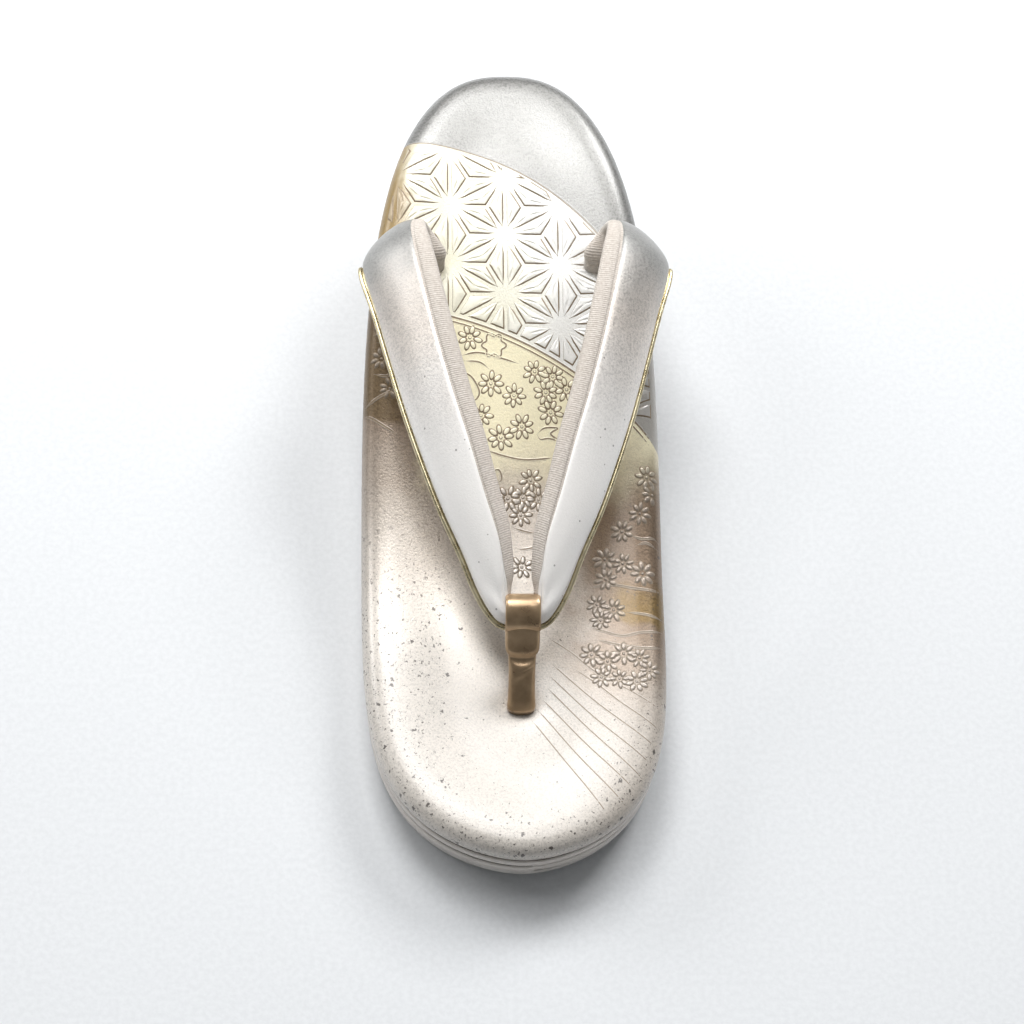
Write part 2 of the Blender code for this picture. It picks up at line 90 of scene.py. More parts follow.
def add(tree, kind, sockets=None, out=0, stops=None, **settings):
    """A shader node with its settings, its values and its links; gives back one output.

    A socket takes a number, a hex colour or another node's output."""
    made = tree.nodes.new("ShaderNode" + kind)
    for name, value in settings.items():
        setattr(made, name, value)
    for key, value in (sockets or {}).items():
        if isinstance(value, bpy.types.NodeSocket):
            tree.links.new(value, made.inputs[key])
        else:
            made.inputs[key].default_value = linear(value) if isinstance(value, str) else value
    if stops:
        ramp = made.color_ramp
        while len(ramp.elements) < len(stops):
            ramp.elements.new(1.0)
        for element, (place, colour) in zip(ramp.elements, stops):
            element.position = place
            element.color = linear(colour) if isinstance(colour, str) else (colour,) * 3 + (1.0,)
    return made.outputs[out]


def feed(tree, shader, **sources):
    """Links the outputs of nodes to the sockets of a shader."""
    for socket, source in sources.items():
        tree.links.new(source, shader.inputs[socket.replace("_", " ")])


def new_finish(name, **values):
    """A material and its Principled shader, with the values that are the same all over."""
    finish = bpy.data.materials.new(name)
    finish.use_nodes = True
    shader = finish.node_tree.nodes["Principled BSDF"]
    for socket, value in values.items():
        shader.inputs[socket.replace("_", " ")].default_value = value
    return finish, finish.node_tree, shader


def piece(name, points, faces, finishes, picks=None, uvs=None):
    """A mesh object from points in millimetres. picks gives each face its finish."""
    mesh = bpy.data.meshes.new(name)
    mesh.from_pydata([tuple(0.001 * c for c in p) for p in points], [], faces)
    for finish in finishes:
        mesh.materials.append(finish)
    if picks:
        mesh.polygons.foreach_set("material_index", picks)
    if uvs:
        layer = mesh.uv_layers.new(name="run")
        for corner in mesh.loops:
            layer.data[corner.index].uv = uvs[corner.vertex_index]
    work = bmesh.new()
    work.from_mesh(mesh)
    bmesh.ops.recalc_face_normals(work, faces=work.faces)
    work.to_mesh(mesh)
    work.free()
    mesh.shade_smooth()
    made = bpy.data.objects.new(name, mesh)
    bpy.context.collection.objects.link(made)
    print(name, len(mesh.polygons), "faces")
    return made


# %% Lights
SANDAL_MIDDLE = Vector((0.0, 0.0, 0.03))
SOFTBOXES = (
    # name, place in metres, width, height, watts
    ("heel_softbox", (-0.22, 0.66, 1.08), 0.52, 0.52, 9.9),
    ("overhead_softbox", (-0.03, 0.30, 1.45), 0.50, 0.40, 3.2),
    ("left_softbox", (-1.15, 0.66, 0.70), 0.70, 0.50, 6.6),
    ("right_softbox", (0.52, 0.72, 0.82), 0.42, 0.42, 7.4),
)
for name, place, width, height, watts in SOFTBOXES:
    light = bpy.data.lights.new(name, "AREA")
    light.shape = "RECTANGLE"
    light.size = width
    light.size_y = height
    light.energy = watts
    lamp = bpy.data.objects.new(name, light)
    bpy.context.collection.objects.link(lamp)
    lamp.location = place
    lamp.rotation_euler = (SANDAL_MIDDLE - Vector(place)).to_track_quat("-Z", "Y").to_euler()

world = bpy.data.worlds.new("pale_studio")
world.use_nodes = True
tree = world.node_tree
toward_heel = add(tree, "SeparateXYZ", {0: add(tree, "TexCoord", out="Generated")}, out=1)
strength = add(tree, "MapRange", {"Value": toward_heel, 1: -0.6, 2: 0.7, 3: 0.14, 4: 0.28},
               interpolation_type="SMOOTHSTEP")
tree.nodes["Background"].inputs["Color"].default_value = linear("#F4F7FA")
feed(tree, tree.nodes["Background"], Strength=strength)
bpy.context.scene.world = world
print("soft lights:", len(SOFTBOXES))

# %% Floor
# A texture's scale is one over the size of its pattern in millimetres, and a thousand over it
# where the place is left in metres
FLOOR_REACH = 2500
floor_finish, tree, shader = new_finish("matt_card_backdrop", Roughness=0.9)
# Matt card: a fibre of 1.5 mm, drawn coarser than the real one so that it shows
place = add(tree, "TexCoord", out="Object")
fibre = add(tree, "TexNoise", {"Vector": place, "Scale": 1000 / 1.54, "Detail": 3.0})
cloud = add(tree, "TexNoise", {"Vector": place, "Scale": 1000 / 333.3})
tone = add(tree, "ValToRGB", {"Fac": cloud}, stops=((0.3, "#E1E3E5"), (0.7, "#E5E7E9")))
shade = add(tree, "ValToRGB", {"Fac": fibre}, stops=((0.35, "#F9F9F9"), (0.65, "#FFFFFF")))
feed(tree, shader,
     Base_Color=add(tree, "Mix", {0: 1.0, 6: tone, 7: shade}, out=2, data_type="RGBA",
                    blend_type="MULTIPLY"),
     Normal=add(tree, "Bump", {"Height": fibre, "Strength": 0.14, "Distance": 0.0003}))
corners = [(-FLOOR_REACH, -FLOOR_REACH, 0), (FLOOR_REACH, -FLOOR_REACH, 0),
           (FLOOR_REACH, FLOOR_REACH, 0), (-FLOOR_REACH, FLOOR_REACH, 0)]
floor = piece("floor", corners, [(0, 1, 2, 3)], [floor_finish])


# %% [markdown]
# ## The form of the sole
#
# A zori's sole is a stack: a thin outsole, two wrapped tiers and a padded footbed. One
# outline serves them all, made of two rounded halves, and a few curves along the length
# give the toe spring, the hollow under the arch and the rise of the wedge to the heel. The
# same functions that shaped the solids are written out here, so that each dressed layer
# lies exactly on its own solid.

# %% Sizes of the sole, in millimetres
LENGTH, WIDTH, WIDEST, DRIFT, OFFSET = 243.5, 87.9, 93.7, 1.7, -1.5
OUTSOLE, LOWER, UPPER, PAD, GAP = 2.6, 4.9, 4.1, 9.3, 0.3
TOE_SPRING, ARCH_RISE, LOWER_RISE, UPPER_RISE = 3.3, 3.0, 16.5, 11.0
DISH, ROLL = 1.2, 10.0
HALF = LENGTH / 2


def ease(t):
    """0 to 1 with level ends."""
    t = min(max(t, 0.0), 1.0)
    return 0.5 - 0.5 * math.cos(math.pi * t)


def run_share(y, start, end):
    """How far y has come along a stretch of the sole, given as shares of its length."""
    return min(max(((y + HALF) / LENGTH - start) / (end - start), 0.0), 1.0)


def toe_lift(y):
    return TOE_SPRING * (1 - run_share(y, 0.0, 0.19)) ** 2


def wedge(y):
    return ease(run_share(y, 0.293, 0.914))


def outsole_bottom(y):
    return toe_lift(y) + ARCH_RISE * math.sin(math.pi * run_share(y, 0.375, 0.69)) ** 2


def outsole_top(y):
    return outsole_bottom(y) + OUTSOLE


def lower_bottom(y):
    return outsole_top(y) + GAP


def lower_top(y):
    return toe_lift(y) + OUTSOLE + GAP + LOWER + LOWER_RISE * wedge(y)


def upper_bottom(y):
    return lower_top(y) + GAP


def upper_top(y):
    return upper_bottom(y) + UPPER + UPPER_RISE * wedge(y)


def pad_bottom(y):
    return upper_top(y) + GAP


def crest(y):
    return pad_bottom(y) + PAD


def middle_line(y):
    t = max((WIDEST - HALF - y) / WIDEST, 0.0)
    return DRIFT * t * t + OFFSET


print("crest at toe, ball and heel:", [round(crest(y), 1) for y in (-110, -40, 100)])


# %% The outline, and rings inside it
def smooth_rows(rows, steps, closed=False):
    """Rows of numbers with even steps added between them on a smooth curve."""
    made = []
    count = len(rows)
    for k in range(count if closed else count - 1):
        if closed:
            near = [rows[(k + d) % count] for d in (-1, 0, 1, 2)]
        else:
            near = [rows[min(max(k + d, 0), count - 1)] for d in (-1, 0, 1, 2)]
        for step in range(steps):
            t = step / steps
            row = []
            for p0, p1, p2, p3 in zip(*near):
                bend = (2 * p0 - 5 * p1 + 4 * p2 - p3) * t * t + (3 * p1 - p0 - 3 * p2 + p3) * t**3
                row.append(p1 + 0.5 * ((p2 - p0) * t + bend))
            made.append(tuple(row))
    if not closed:
        made.append(tuple(rows[-1]))
    return made


def bowed(value, power):
    """A sine or cosine raised to a power, its sign kept: it squares or slims a round."""
    return math.copysign(abs(value) ** power, value)


def outline_curve(turn):
    """The outline at a turn from the toe's middle: fuller round the toe than the heel."""
    angle = 2 * math.pi * turn
    toe = math.cos(angle) > 0
    across = bowed(math.sin(angle), 2 / (1.75 if toe else 2.5))
    along = abs(math.cos(angle)) ** (2 / (4.6 if toe else 2.95))
    reach = -WIDEST if toe else LENGTH - WIDEST
    return Vector((WIDTH / 2 * across, WIDEST - HALF + reach * along))


def even_outline(count):
    """Points at even steps round the sole, from the middle of the toe."""
    last = 4000
    curve = [outline_curve(0.5 * k / last) for k in range(last + 1)]
    curve[0].x = curve[-1].x = 0.0
    far = [0.0]
    for a, b in zip(curve, curve[1:]):
        far.append(far[-1] + (b - a).length)
    points, k = [], 0
    for step in range(count // 2 + 1):
        goal = far[-1] * step / (count // 2)
        while k < last - 1 and far[k + 1] < goal:
            k += 1
        points.append(curve[k].lerp(curve[k + 1], (goal - far[k]) / (far[k + 1] - far[k])))
    return points + [Vector((-p.x, p.y)) for p in reversed(points[1:-1])]


OUTLINE = even_outline(480)


def inset_ring(inset):
    """The outline moved in by a distance; inset is a number or a function of the point."""
    count = len(OUTLINE)
    ring = []
    for k, point in enumerate(OUTLINE):
        run = (OUTLINE[(k + 1) % count] - OUTLINE[k - 1]).normalized()
        amount = inset(point) if callable(inset) else inset
        moved = point + Vector((-run.y, run.x)) * amount
        if k in (0, count // 2):
            moved.x = 0.0
        ring.append(Vector((moved.x + middle_line(moved.y), moved.y)))
    return ring


def bands(rows, count, start=0, closed=True):
    """Faces between rows of points of equal count; start is the first point's number."""
    faces = []
    for row in range(rows - 1):
        for k in range(count if closed else count - 1):
            a, b = start + row * count + k, start + row * count + (k + 1) % count
            faces.append((a, b, b + count, a + count))
    return faces


def skin(rings):
    """Points and faces of a closed body from rings of equal count, bottom first."""
    count = len(rings[0])
    points = [p for ring in rings for p in ring]
    faces = bands(len(rings), count)
    for start in (0, (len(rings) - 1) * count):
        faces.append((start, start + 1, start + count - 1))
        for k in range(1, count // 2 - 1):
            faces.append((start + k, start + k + 1, start + count - k - 1, start + count - k))
        faces.append((start + count // 2 - 1, start + count // 2, start + count // 2 + 1))
    return points, faces


edge_length = sum((b - a).length for a, b in zip(OUTLINE, OUTLINE[1:] + OUTLINE[:1]))
print("outline:", len(OUTLINE), "points,", round(edge_length), "mm round")


# %% [markdown]
# ## Outsole and wrapped tiers
#
# Each tier is a board wrapped in a strip of pearl leather, which is pasted round it and
# overlaps itself at the middle of the toe. That lap shows as a small step in the band and
# in the groove under it. The rings up the side follow the soft bulge of a wrapped board.
# To one side of the lap the wrap sits up a little and lies a little deeper or prouder,
# easing off over a few centimetres. The wrap's folds above and below are painted dark as
# shade, which draws the dark lines of the grooves. The outsole is a plain thin sheet.

# %% Side finishes
pearl_wrap, tree, shader = new_finish("pearl_wrap_leather", Metallic=0.12, Coat_Weight=0.35,
                                      Coat_Roughness=0.3)
# Thin leather with a pearl lacquer: soft gloss, faint lengthwise creases 2.4 mm long and a
# sixth of that high, painted greyer in the hollows as shade; pores drawn at 0.7 mm so that they show
place = add(tree, "TexCoord", out="Object")
stretch = add(tree, "Mapping", {"Vector": place, "Scale": (1.0, 1.0, 6.0)})
crease = add(tree, "TexNoise", {"Vector": stretch, "Scale": 1000 / 2.38, "Detail": 5.0, "Roughness": 0.6})
pore = add(tree, "TexVoronoi", {"Vector": place, "Scale": 1000 / 0.667})
deep = add(tree, "Bump", {"Height": crease, "Strength": 0.25, "Distance": 0.0004})
feed(tree, shader,
     Base_Color=add(tree, "ValToRGB", {"Fac": crease},
                    stops=((0.25, "#D6CEC6"), (0.55, "#DFD8D1"), (0.8, "#E5DFD9"))),
     Roughness=add(tree, "MapRange", {"Value": crease, 3: 0.36, 4: 0.5}),
     Normal=add(tree, "Bump", {"Height": pore, "Strength": 0.12, "Distance": 0.0001, "Normal": deep}))

pale_rubber, tree, shader = new_finish("moulded_eva_rubber", Roughness=0.6)
# Foamed rubber sheet, cut and lightly sanded: matt, with an open grain of 0.8 mm
place = add(tree, "TexCoord", out="Object")
cell = add(tree, "TexVoronoi", {"Vector": place, "Scale": 1000 / 0.769})
patch = add(tree, "TexNoise", {"Vector": place, "Scale": 1000 / 14.3, "Detail": 3.0})
feed(tree, shader,
     Base_Color=add(tree, "ValToRGB", {"Fac": patch}, stops=((0.3, "#D6D1CB"), (0.7, "#E4E0DA"))),
     Normal=add(tree, "Bump", {"Height": cell, "Strength": 0.3, "Distance": 0.0002}))

groove_shade_finish, tree, shader = new_finish("painted_groove_shade", Roughness=0.7)
# The folded edges of the wraps, painted grey-brown in clouds of about 3 mm as the shade in the grooves
# between the tiers
place = add(tree, "TexCoord", out="Object")
stain = add(tree, "TexNoise", {"Vector": place, "Scale": 1000 / 3.33, "Detail": 3.0})
feed(tree, shader,
     Base_Color=add(tree, "ValToRGB", {"Fac": stain}, stops=((0.3, "#5E554D"), (0.7, "#7D736A"))))


# %% The three side layers
TIER_SIDE = smooth_rows([(1.00, 0.00), (0.25, 0.16), (0.00, 0.50), (0.25, 0.84), (1.00, 1.00)], 4)
SHEET_SIDE = [(0.50, 0.00), (0.15, 0.10), (0.00, 0.30), (0.00, 0.60), (0.00, 0.92), (0.10, 1.00)]
LAP_X, LAP_REACH = 2.6, 26.0
WRAP_INSET, WRAP_BULGE, SHEET_INSET, SHEET_BULGE = 0.5, 1.7, 1.3, 1.0


def lap(point):
    """1 on the upper end of the wrap's lap at the toe, easing off to one side."""
    if point.y > -HALF / 2 or point.x < LAP_X:
        return 0.0
    return max(1 - (point.x - LAP_X) / LAP_REACH, 0.0) ** 1.5


def layer(name, side, bottom, top, inset, bulge, finish, folded=0, lap_out=0.0, lap_up=0.0):
    """One layer of the sole, from its side profile; folded is how many rows at each fold are painted dark as
    groove shade.
    """
    rings = []
    for inset_share, height_share in side:
        def where(point):
            return inset + inset_share * bulge - lap_out * lap(point)
        ring = []
        for flat, source in zip(inset_ring(where), OUTLINE):
            low = bottom(flat.y) + lap_up * lap(source)
            ring.append(Vector((flat.x, flat.y, low + height_share * (top(flat.y) - low))))
        rings.append(ring)
    points, faces = skin(rings)
    rows = [min(face) // len(OUTLINE) for face in faces]
    # The rows at the folds take the painted shade of the grooves
    in_groove_shade = [int(bool(folded) and not folded <= row < len(side) - folded - 1) for row in rows]
    made = piece(name, points, faces, [finish, groove_shade_finish], in_groove_shade)
    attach(made, "root")
    return made


outsole = layer("outsole_sheet", SHEET_SIDE, outsole_bottom, outsole_top, SHEET_INSET, SHEET_BULGE,
                pale_rubber)
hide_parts("outsole")
lower_wrap = layer("lower_wrap", TIER_SIDE, lower_bottom, lower_top, WRAP_INSET, WRAP_BULGE,
                   pearl_wrap, folded=3, lap_out=-0.30, lap_up=0.55)
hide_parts("lower_tier")
upper_wrap = layer("upper_wrap", TIER_SIDE, upper_bottom, upper_top, WRAP_INSET, WRAP_BULGE,
                   pearl_wrap, folded=3, lap_out=0.12, lap_up=0.2)
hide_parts("upper_tier")


# %% [markdown]
# ## The footbed's foil leather
#
# The top is soft leather printed with foil and then sprayed: silver at the heel, white gold
# in the star lattice, pale gold where the flowers are, champagne along the sides and pearl
# white with dark specks at the toe. One network mixes these zones from the place on the
# sandal, in millimetres, so that the relief on top, made later, can share it. Two circles
# give the arcs that part the heel, the lattice and the flower field.

# %% Zones of the footbed
# Centre and radius of the two circles, in millimetres
HEEL_ARC = (-36.2, 18.2, 77.4)
FIELD_ARC = (-45.8, -67.9, 112.1)


def zone(tree, *limits, within=None):
    """The share of a zone with soft limits: each is a value, where it starts and where it is
    full. within is a share that the zone starts from."""
    share = within
    for value, start, full in limits:
        step = add(tree, "MapRange", {"Value": value, 1: start, 2: full},
                   interpolation_type="SMOOTHSTEP")
        share = step if share is None else add(tree, "Math", {0: share, 1: step}, operation="MULTIPLY")
    return share


def sprayed(tree, colour, *coats):
    """A colour under coats of spray, each with its share and its own colour."""
    for share, tint in coats:
        colour = add(tree, "Mix", {0: share, 6: colour, 7: tint}, out=2, data_type="RGBA")
    return colour


def footbed_zones(tree):
    """Places on the footbed in millimetres and shares of its main zones, as sockets.

    x runs to the lateral side and y to the heel. wavy_x and wavy_y are shifted by a slow
    cloud, so that a sprayed edge isn't straight."""
    metres = add(tree, "TexCoord", out="Object")
    z = {"place": add(tree, "VectorMath", {0: metres, "Scale": 1000.0}, operation="SCALE")}
    cloud = add(tree, "TexNoise", {"Vector": z["place"], "Scale": 1 / 16.67, "Detail": 3.0})
    shift = add(tree, "Math", {0: cloud, 1: 0.5}, operation="SUBTRACT")
    for axis, number, waver in (("x", 0, 22.0), ("y", 1, 26.0)):
        z[axis] = add(tree, "SeparateXYZ", {0: z["place"]}, out=number)
        z["wavy_" + axis] = add(tree, "Math", {0: shift, 1: waver, 2: z[axis]}, operation="MULTIPLY_ADD")
    z["flat"] = add(tree, "CombineXYZ", {0: z["x"], 1: z["y"]})
    beyond = []
    for centre_x, centre_y, radius in (HEEL_ARC, FIELD_ARC):
        away = add(tree, "VectorMath", {0: z["flat"], 1: (centre_x, centre_y, 0.0)}, out=1,
                   operation="DISTANCE")
        beyond.append(add(tree, "Math", {0: away, 1: radius}, operation="SUBTRACT"))
    z["heel"] = zone(tree, (beyond[0], -0.2, 0.2), (z["y"], 40.0, 44.0))
    z["front"] = add(tree, "Math", {0: 1.0, 1: z["heel"]}, operation="SUBTRACT")
    z["lattice"] = zone(tree, (beyond[1], -0.2, 0.2), (z["y"], -30.0, -20.0), within=z["front"])
    return z


# %% Foil colours
def foil_colours(tree, z):
    """Colour, metal share, roughness and grain of the foil and the sprayed leather."""
    x, y = z["wavy_x"], z["wavy_y"]
    champagne = zone(tree, (x, 6.0, 24.0), (y, -92.0, -62.0))
    field = zone(tree, (y, -16.0, 6.0), (x, -31.0, -21.0), within=z["front"])
    # White gold of the lattice: warmer toward the medial side, silver toward the lateral side
    lattice = sprayed(tree, "#E8E7E3",
                      (zone(tree, (x, 16.0, -12.0)), "#ECE8D2"),
                      (zone(tree, (x, -26.0, -36.0)), "#957C4A"),
                      (zone(tree, (x, 22.0, 34.0)), "#A8A49E"))
    # Brown, pearl toward the toe, champagne, its dusk at the fan, pale gold in the flower
    # field, old gold at the lateral and the medial rim, the lattice, and silver at the heel
    colour = sprayed(tree, "#8A7560",
                     (zone(tree, (y, 30.0, -58.0)), "#D8D1C8"),
                     (champagne, "#86725E"),
                     (zone(tree, (x, 4.0, 30.0), (y, -50.0, -76.0), within=0.55), "#B9AEA2"),
                     (field, "#F6EDCB"),
                     (zone(tree, (x, 22.0, 30.0), (y, -54.0, -50.0), (y, -38.0, -44.0), within=0.75),
                      "#7D6430"),
                     (zone(tree, (x, -26.0, -34.0), (y, 8.0, 14.0), within=0.8), "#6C5839"),
                     (z["lattice"], lattice),
                     (z["heel"], "#949390"))
    # Grain of the spray, 0.7 mm: drawn coarser than the real one so that it shows, and
    # strongest on the silver of the heel
    grain = add(tree, "TexNoise", {"Vector": z["place"], "Scale": 1 / 0.6667, "Detail": 3.0,
                                   "Roughness": 0.75})
    speckle = add(tree, "ValToRGB", {"Fac": grain}, stops=((0.38, 0.60), (0.56, 1.0)))
    bright = add(tree, "Math", {0: z["lattice"], 1: field}, operation="MAXIMUM")
    coarse = add(tree, "MapRange", {"Value": bright, 3: 0.62, 4: 0.2})
    coarse = add(tree, "MapRange", {"Value": z["heel"], 3: coarse, 4: 1.0})
    colour = add(tree, "Mix", {0: coarse, 6: colour, 7: speckle}, out=2, data_type="RGBA",
                 blend_type="MULTIPLY")
    # Pearl lacquer at the toe is hardly metallic, and there is less of it over champagne
    uncovered = add(tree, "MapRange", {"Value": champagne, 3: 1.0, 4: 0.4})
    lacquer = zone(tree, (y, -28.0, -84.0), within=uncovered)
    metal = add(tree, "MapRange", {"Value": lacquer, 3: 0.62, 4: 0.06})
    metal = add(tree, "MapRange", {"Value": bright, 3: metal, 4: 0.12})
    rough = add(tree, "MapRange", {"Value": grain, 1: 0.35, 2: 0.65, 3: 0.30, 4: 0.52})
    return colour, metal, rough, grain


# %% Footbed leather with its specks
foil_leather, tree, shader = new_finish("foil_printed_leather", Coat_Weight=0.7, Coat_Roughness=0.24)
# Foil under a thin clear lacquer: metallic colour, gentle gloss, pore relief under 0.1 mm
z = footbed_zones(tree)
colour, metal, rough, grain = foil_colours(tree, z)
# Dark sprayed specks, thickest in the last 15 mm round the toe and along the two sides
jitter = add(tree, "TexNoise", {"Vector": z["place"], "Scale": 1 / 0.7143, "Detail": 2.0}, out=1)
shaken = add(tree, "VectorMath", {0: jitter, 1: (1.7, 1.7, 1.7), 2: z["place"]}, operation="MULTIPLY_ADD")
crowd = add(tree, "TexNoise", {"Vector": z["place"], "Scale": 1 / 11.11, "Detail": 2.0})
from_middle = add(tree, "Math", {0: add(tree, "Math", {0: z["x"], 1: 9.0}, operation="SUBTRACT")},
                  operation="ABSOLUTE")
from_toe = add(tree, "VectorMath", {0: z["flat"], 1: (-1.5, -80.0, 0.0)}, out=1, operation="DISTANCE")
rim = add(tree, "Math", {0: zone(tree, (from_middle, 20.0, 40.0)),
                         1: zone(tree, (from_toe, 27.0, 38.0), (z["y"], -70.0, -92.0))},
          operation="MAXIMUM")
crowd = add(tree, "Math", {0: rim, 1: crowd}, operation="MULTIPLY")
SPECKS = (
    # room for one speck in mm, the share of rooms taken where there are fewest, what is added to it
    (2.0, 0.0003, 0.24), (1.0526, 0.007, 0.34), (0.5263, 0.03, 0.34),
)
for room, fewest, more in SPECKS:
    speck = {"Vector": shaken, "Scale": 1 / room}
    pick = add(tree, "SeparateXYZ", {0: add(tree, "TexVoronoi", speck, out=1)})
    limit = add(tree, "MapRange", {"Value": crowd, 3: fewest, 4: fewest + more})
    taken = add(tree, "Math", {0: pick, 1: limit}, operation="LESS_THAN")
    share = add(tree, "Math", {0: taken, 1: 0.95}, operation="MULTIPLY")
    dark = zone(tree, (add(tree, "TexVoronoi", speck), 0.34, 0.26), (z["y"], 12.0, -60.0), within=share)
    colour = sprayed(tree, colour, (dark, "#544E49"))
pore = add(tree, "TexVoronoi", {"Vector": z["place"], "Scale": 1 / 0.6667})
pitted = add(tree, "Bump", {"Height": pore, "Strength": 0.16, "Distance": 0.0001})
feed(tree, shader, Base_Color=colour, Metallic=metal, Roughness=rough,
     Normal=add(tree, "Bump", {"Height": grain, "Strength": 0.45, "Distance": 0.0002, "Normal": pitted}))

# %% Foil and wash of the stamped relief
relief_foil, tree, shader = new_finish("raised_foil", Coat_Weight=0.4, Coat_Roughness=0.18)
# The same foil where the stamp pushed it up, mixed a little toward white
colour, metal, rough, grain = foil_colours(tree, footbed_zones(tree))
feed(tree, shader, Base_Color=sprayed(tree, colour, (0.12, "#FFFFFF")), Metallic=metal, Roughness=rough,
     Normal=add(tree, "Bump", {"Height": grain, "Strength": 0.2, "Distance": 0.0001}))

wash_and_shade, tree, shader = new_finish("antique_wash_and_painted_shade", Metallic=0.25, Roughness=0.5)
# Wash left in the stamped lines: brown in the middle, greyer at the toe and on the silver,
# with paler streaks of 1.1 mm where it was wiped. The same finish also paints the shade on
# the star facets' sides that face away from the light
z = footbed_zones(tree)
streak = add(tree, "TexNoise", {"Vector": z["place"], "Scale": 1 / 1.111, "Detail": 3.0})
wash = sprayed(tree, "#7C7064",
               (zone(tree, (z["y"], -40.0, 20.0)), "#6B573E"),
               (zone(tree, (z["x"], 12.0, 24.0), (z["y"], 40.0, 60.0)), "#8C8276"),
               (z["heel"], "#9A9896"),
               (add(tree, "MapRange", {"Value": streak, 3: 0.0, 4: 0.35}), "#D8CBB4"))
feed(tree, shader, Base_Color=wash)


# %% [markdown]
# ## The padded footbed
#
# Under the leather is a sponge pad, so the edge rolls over softly and the middle is
# pressed into a shallow dish, shallowest at the heel, with a dimple where the post and the
# two tails of the strap pull the pad down. A ring mesh follows that: up the rolled edge,
# over the crest, and in to the middle line. Cloth simulation isn't needed, because the pad
# is glued and flat.

# %% Footbed mesh
EDGE = smooth_rows([(0.16, 0.00), (0.05, 0.20), (0.00, 0.44), (0.06, 0.66), (0.22, 0.85),
                    (0.45, 0.96), (0.78, 1.00)], 3)
POST_Y = -HALF + 45.8
HOLE_X, HOLE_Y = 25.0, HALF - 65.6
DIMPLES = (
    # x, y, half width, half length, depth
    (0.0, POST_Y, 6.5, 4.6, 1.3), (-HOLE_X, HOLE_Y, 6.2, 4.4, 1.2), (HOLE_X, HOLE_Y, 6.2, 4.4, 1.2),
)
PAD_RINGS = 30


def dimple(x, y):
    """How far the pad is pulled down at a place."""
    pull = 0.0
    for centre_x, centre_y, wide, long, depth in DIMPLES:
        pull += depth * math.exp(-((x - centre_x) / wide) ** 2 - ((y - centre_y) / long) ** 2)
    return pull


def sunk(share, y):
    """Depth of the dish: it starts just inside the padded rim and is shallower at the heel."""
    return DISH * ease((1 - share) / 0.52) * (1 - 0.35 * ease((y - 60.0) / 34.0))


rings = []
for inset_share, height_share in EDGE:
    rings.append([Vector((p.x, p.y, pad_bottom(p.y) + height_share * PAD))
                  for p in inset_ring(inset_share * ROLL)])
rim = [p.copy() for p in rings[-1]]
for step in range(1, PAD_RINGS + 1):
    share = 1 - 0.98 * step / PAD_RINGS
    ring = []
    for p in rim:
        y = min(max(p.y, -HALF + WIDTH / 2), HALF - WIDTH / 2)
        x = middle_line(y)
        q = Vector((x + (p.x - x) * share, y + (p.y - y) * share))
        ring.append(Vector((q.x, q.y, crest(q.y) - sunk(share, q.y) - dimple(q.x, q.y))))
    rings.append(ring)
pad_points, pad_faces = skin(rings)
footbed = piece("footbed_leather", pad_points, pad_faces, [foil_leather])
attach(footbed, "root")
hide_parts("footbed")
pad_tree = BVHTree.FromPolygons(pad_points, pad_faces)


def on_pad(x, y, lift=0.0):
    """The place on the footbed under (x, y), raised by lift; None beside it."""
    hit, normal, _, _ = pad_tree.ray_cast(Vector((x, y, 90.0)), Vector((0, 0, -1)))
    if hit is None or normal.z < 0.2:
        return None
    return hit + normal * lift


# %% [markdown]
# ## The stamped star lattice
#
# The star pattern is a traditional one: hemp leaves. Its centres stand on a lattice of
# triangles, and each triangle is split into three small ones from its middle. The stamp
# leaves a raised facet in each, with a narrow band between neighbours. The wash lies round
# each facet, with a wider dark line of painted shade on the sides that face away from the
# light, and at the star centres the facet sinks and its band closes. A facet is laid as a
# low pillow over the footbed: rings drawn in from its sides, the outermost washed dark, the
# next painted dark as shade on the sides away from the light, and every point dropped on to
# the footbed below.

# %% Polygons: clipping and insetting
def clip(shape, point, normal):
    """The part of a convex outline on the side that the normal points to."""
    kept = []
    for k, here in enumerate(shape):
        there = shape[(k + 1) % len(shape)]
        a, b = (here - point).dot(normal), (there - point).dot(normal)
        if a >= 0:
            kept.append(here)
        if a * b < 0:
            kept.append(here.lerp(there, a / (a - b)))
    return kept


def drawn_in(shape, inset):
    """A convex outline, counter-clockwise, with every side moved in; None if it closes up."""
    moved = []
    count = len(shape)
    for k in range(count):
        before, here, after = shape[k - 1], shape[k], shape[(k + 1) % count]
        into, away = (here - before).normalized(), (after - here).normalized()
        bisector = Vector((-into.y - away.y, into.x + away.x))
        if bisector.length < 1e-6:
            return None
        bisector.normalize()
        slope = bisector.dot(Vector((-away.y, away.x)))
        moved.append(here + bisector * (inset / max(slope, 0.12)))
    for k in range(count):
        if (moved[(k + 1) % count] - moved[k]).dot(shape[(k + 1) % count] - shape[k]) <= 0:
            return None
    return moved


class Relief:
    """Points, faces and finishes of many small raised shapes that become one mesh."""

    def __init__(self):
        self.points, self.faces, self.picks = [], [], []

    def rings(self, rings, picks, closed=True, cap=True):
        """Faces between rings of equal count; picks gives each band its finish."""
        start, count = len(self.points), len(rings[0])
        self.points += [p for ring in rings for p in ring]
        self.faces += bands(len(rings), count, start, closed)
        for pick in picks[:len(rings) - 1]:
            self.picks += [pick(k) if callable(pick) else pick for k in range(count if closed else count - 1)]
        if cap:
            last = start + (len(rings) - 1) * count
            self.points.append(sum(rings[-1], Vector()) / count)
            for k in range(count):
                self.faces.append((last + k, last + (k + 1) % count, len(self.points) - 1))
                self.picks.append(0)

    def finish(self, name):
        made = piece(name, self.points, self.faces, [relief_foil, wash_and_shade], self.picks)
        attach(made, "root")


# %% Facets of the lattice
FIRST_STAR, ACROSS, UP = Vector((-19.0, 83.5)), Vector((16.41, -0.30)), Vector((0.02, 17.87))
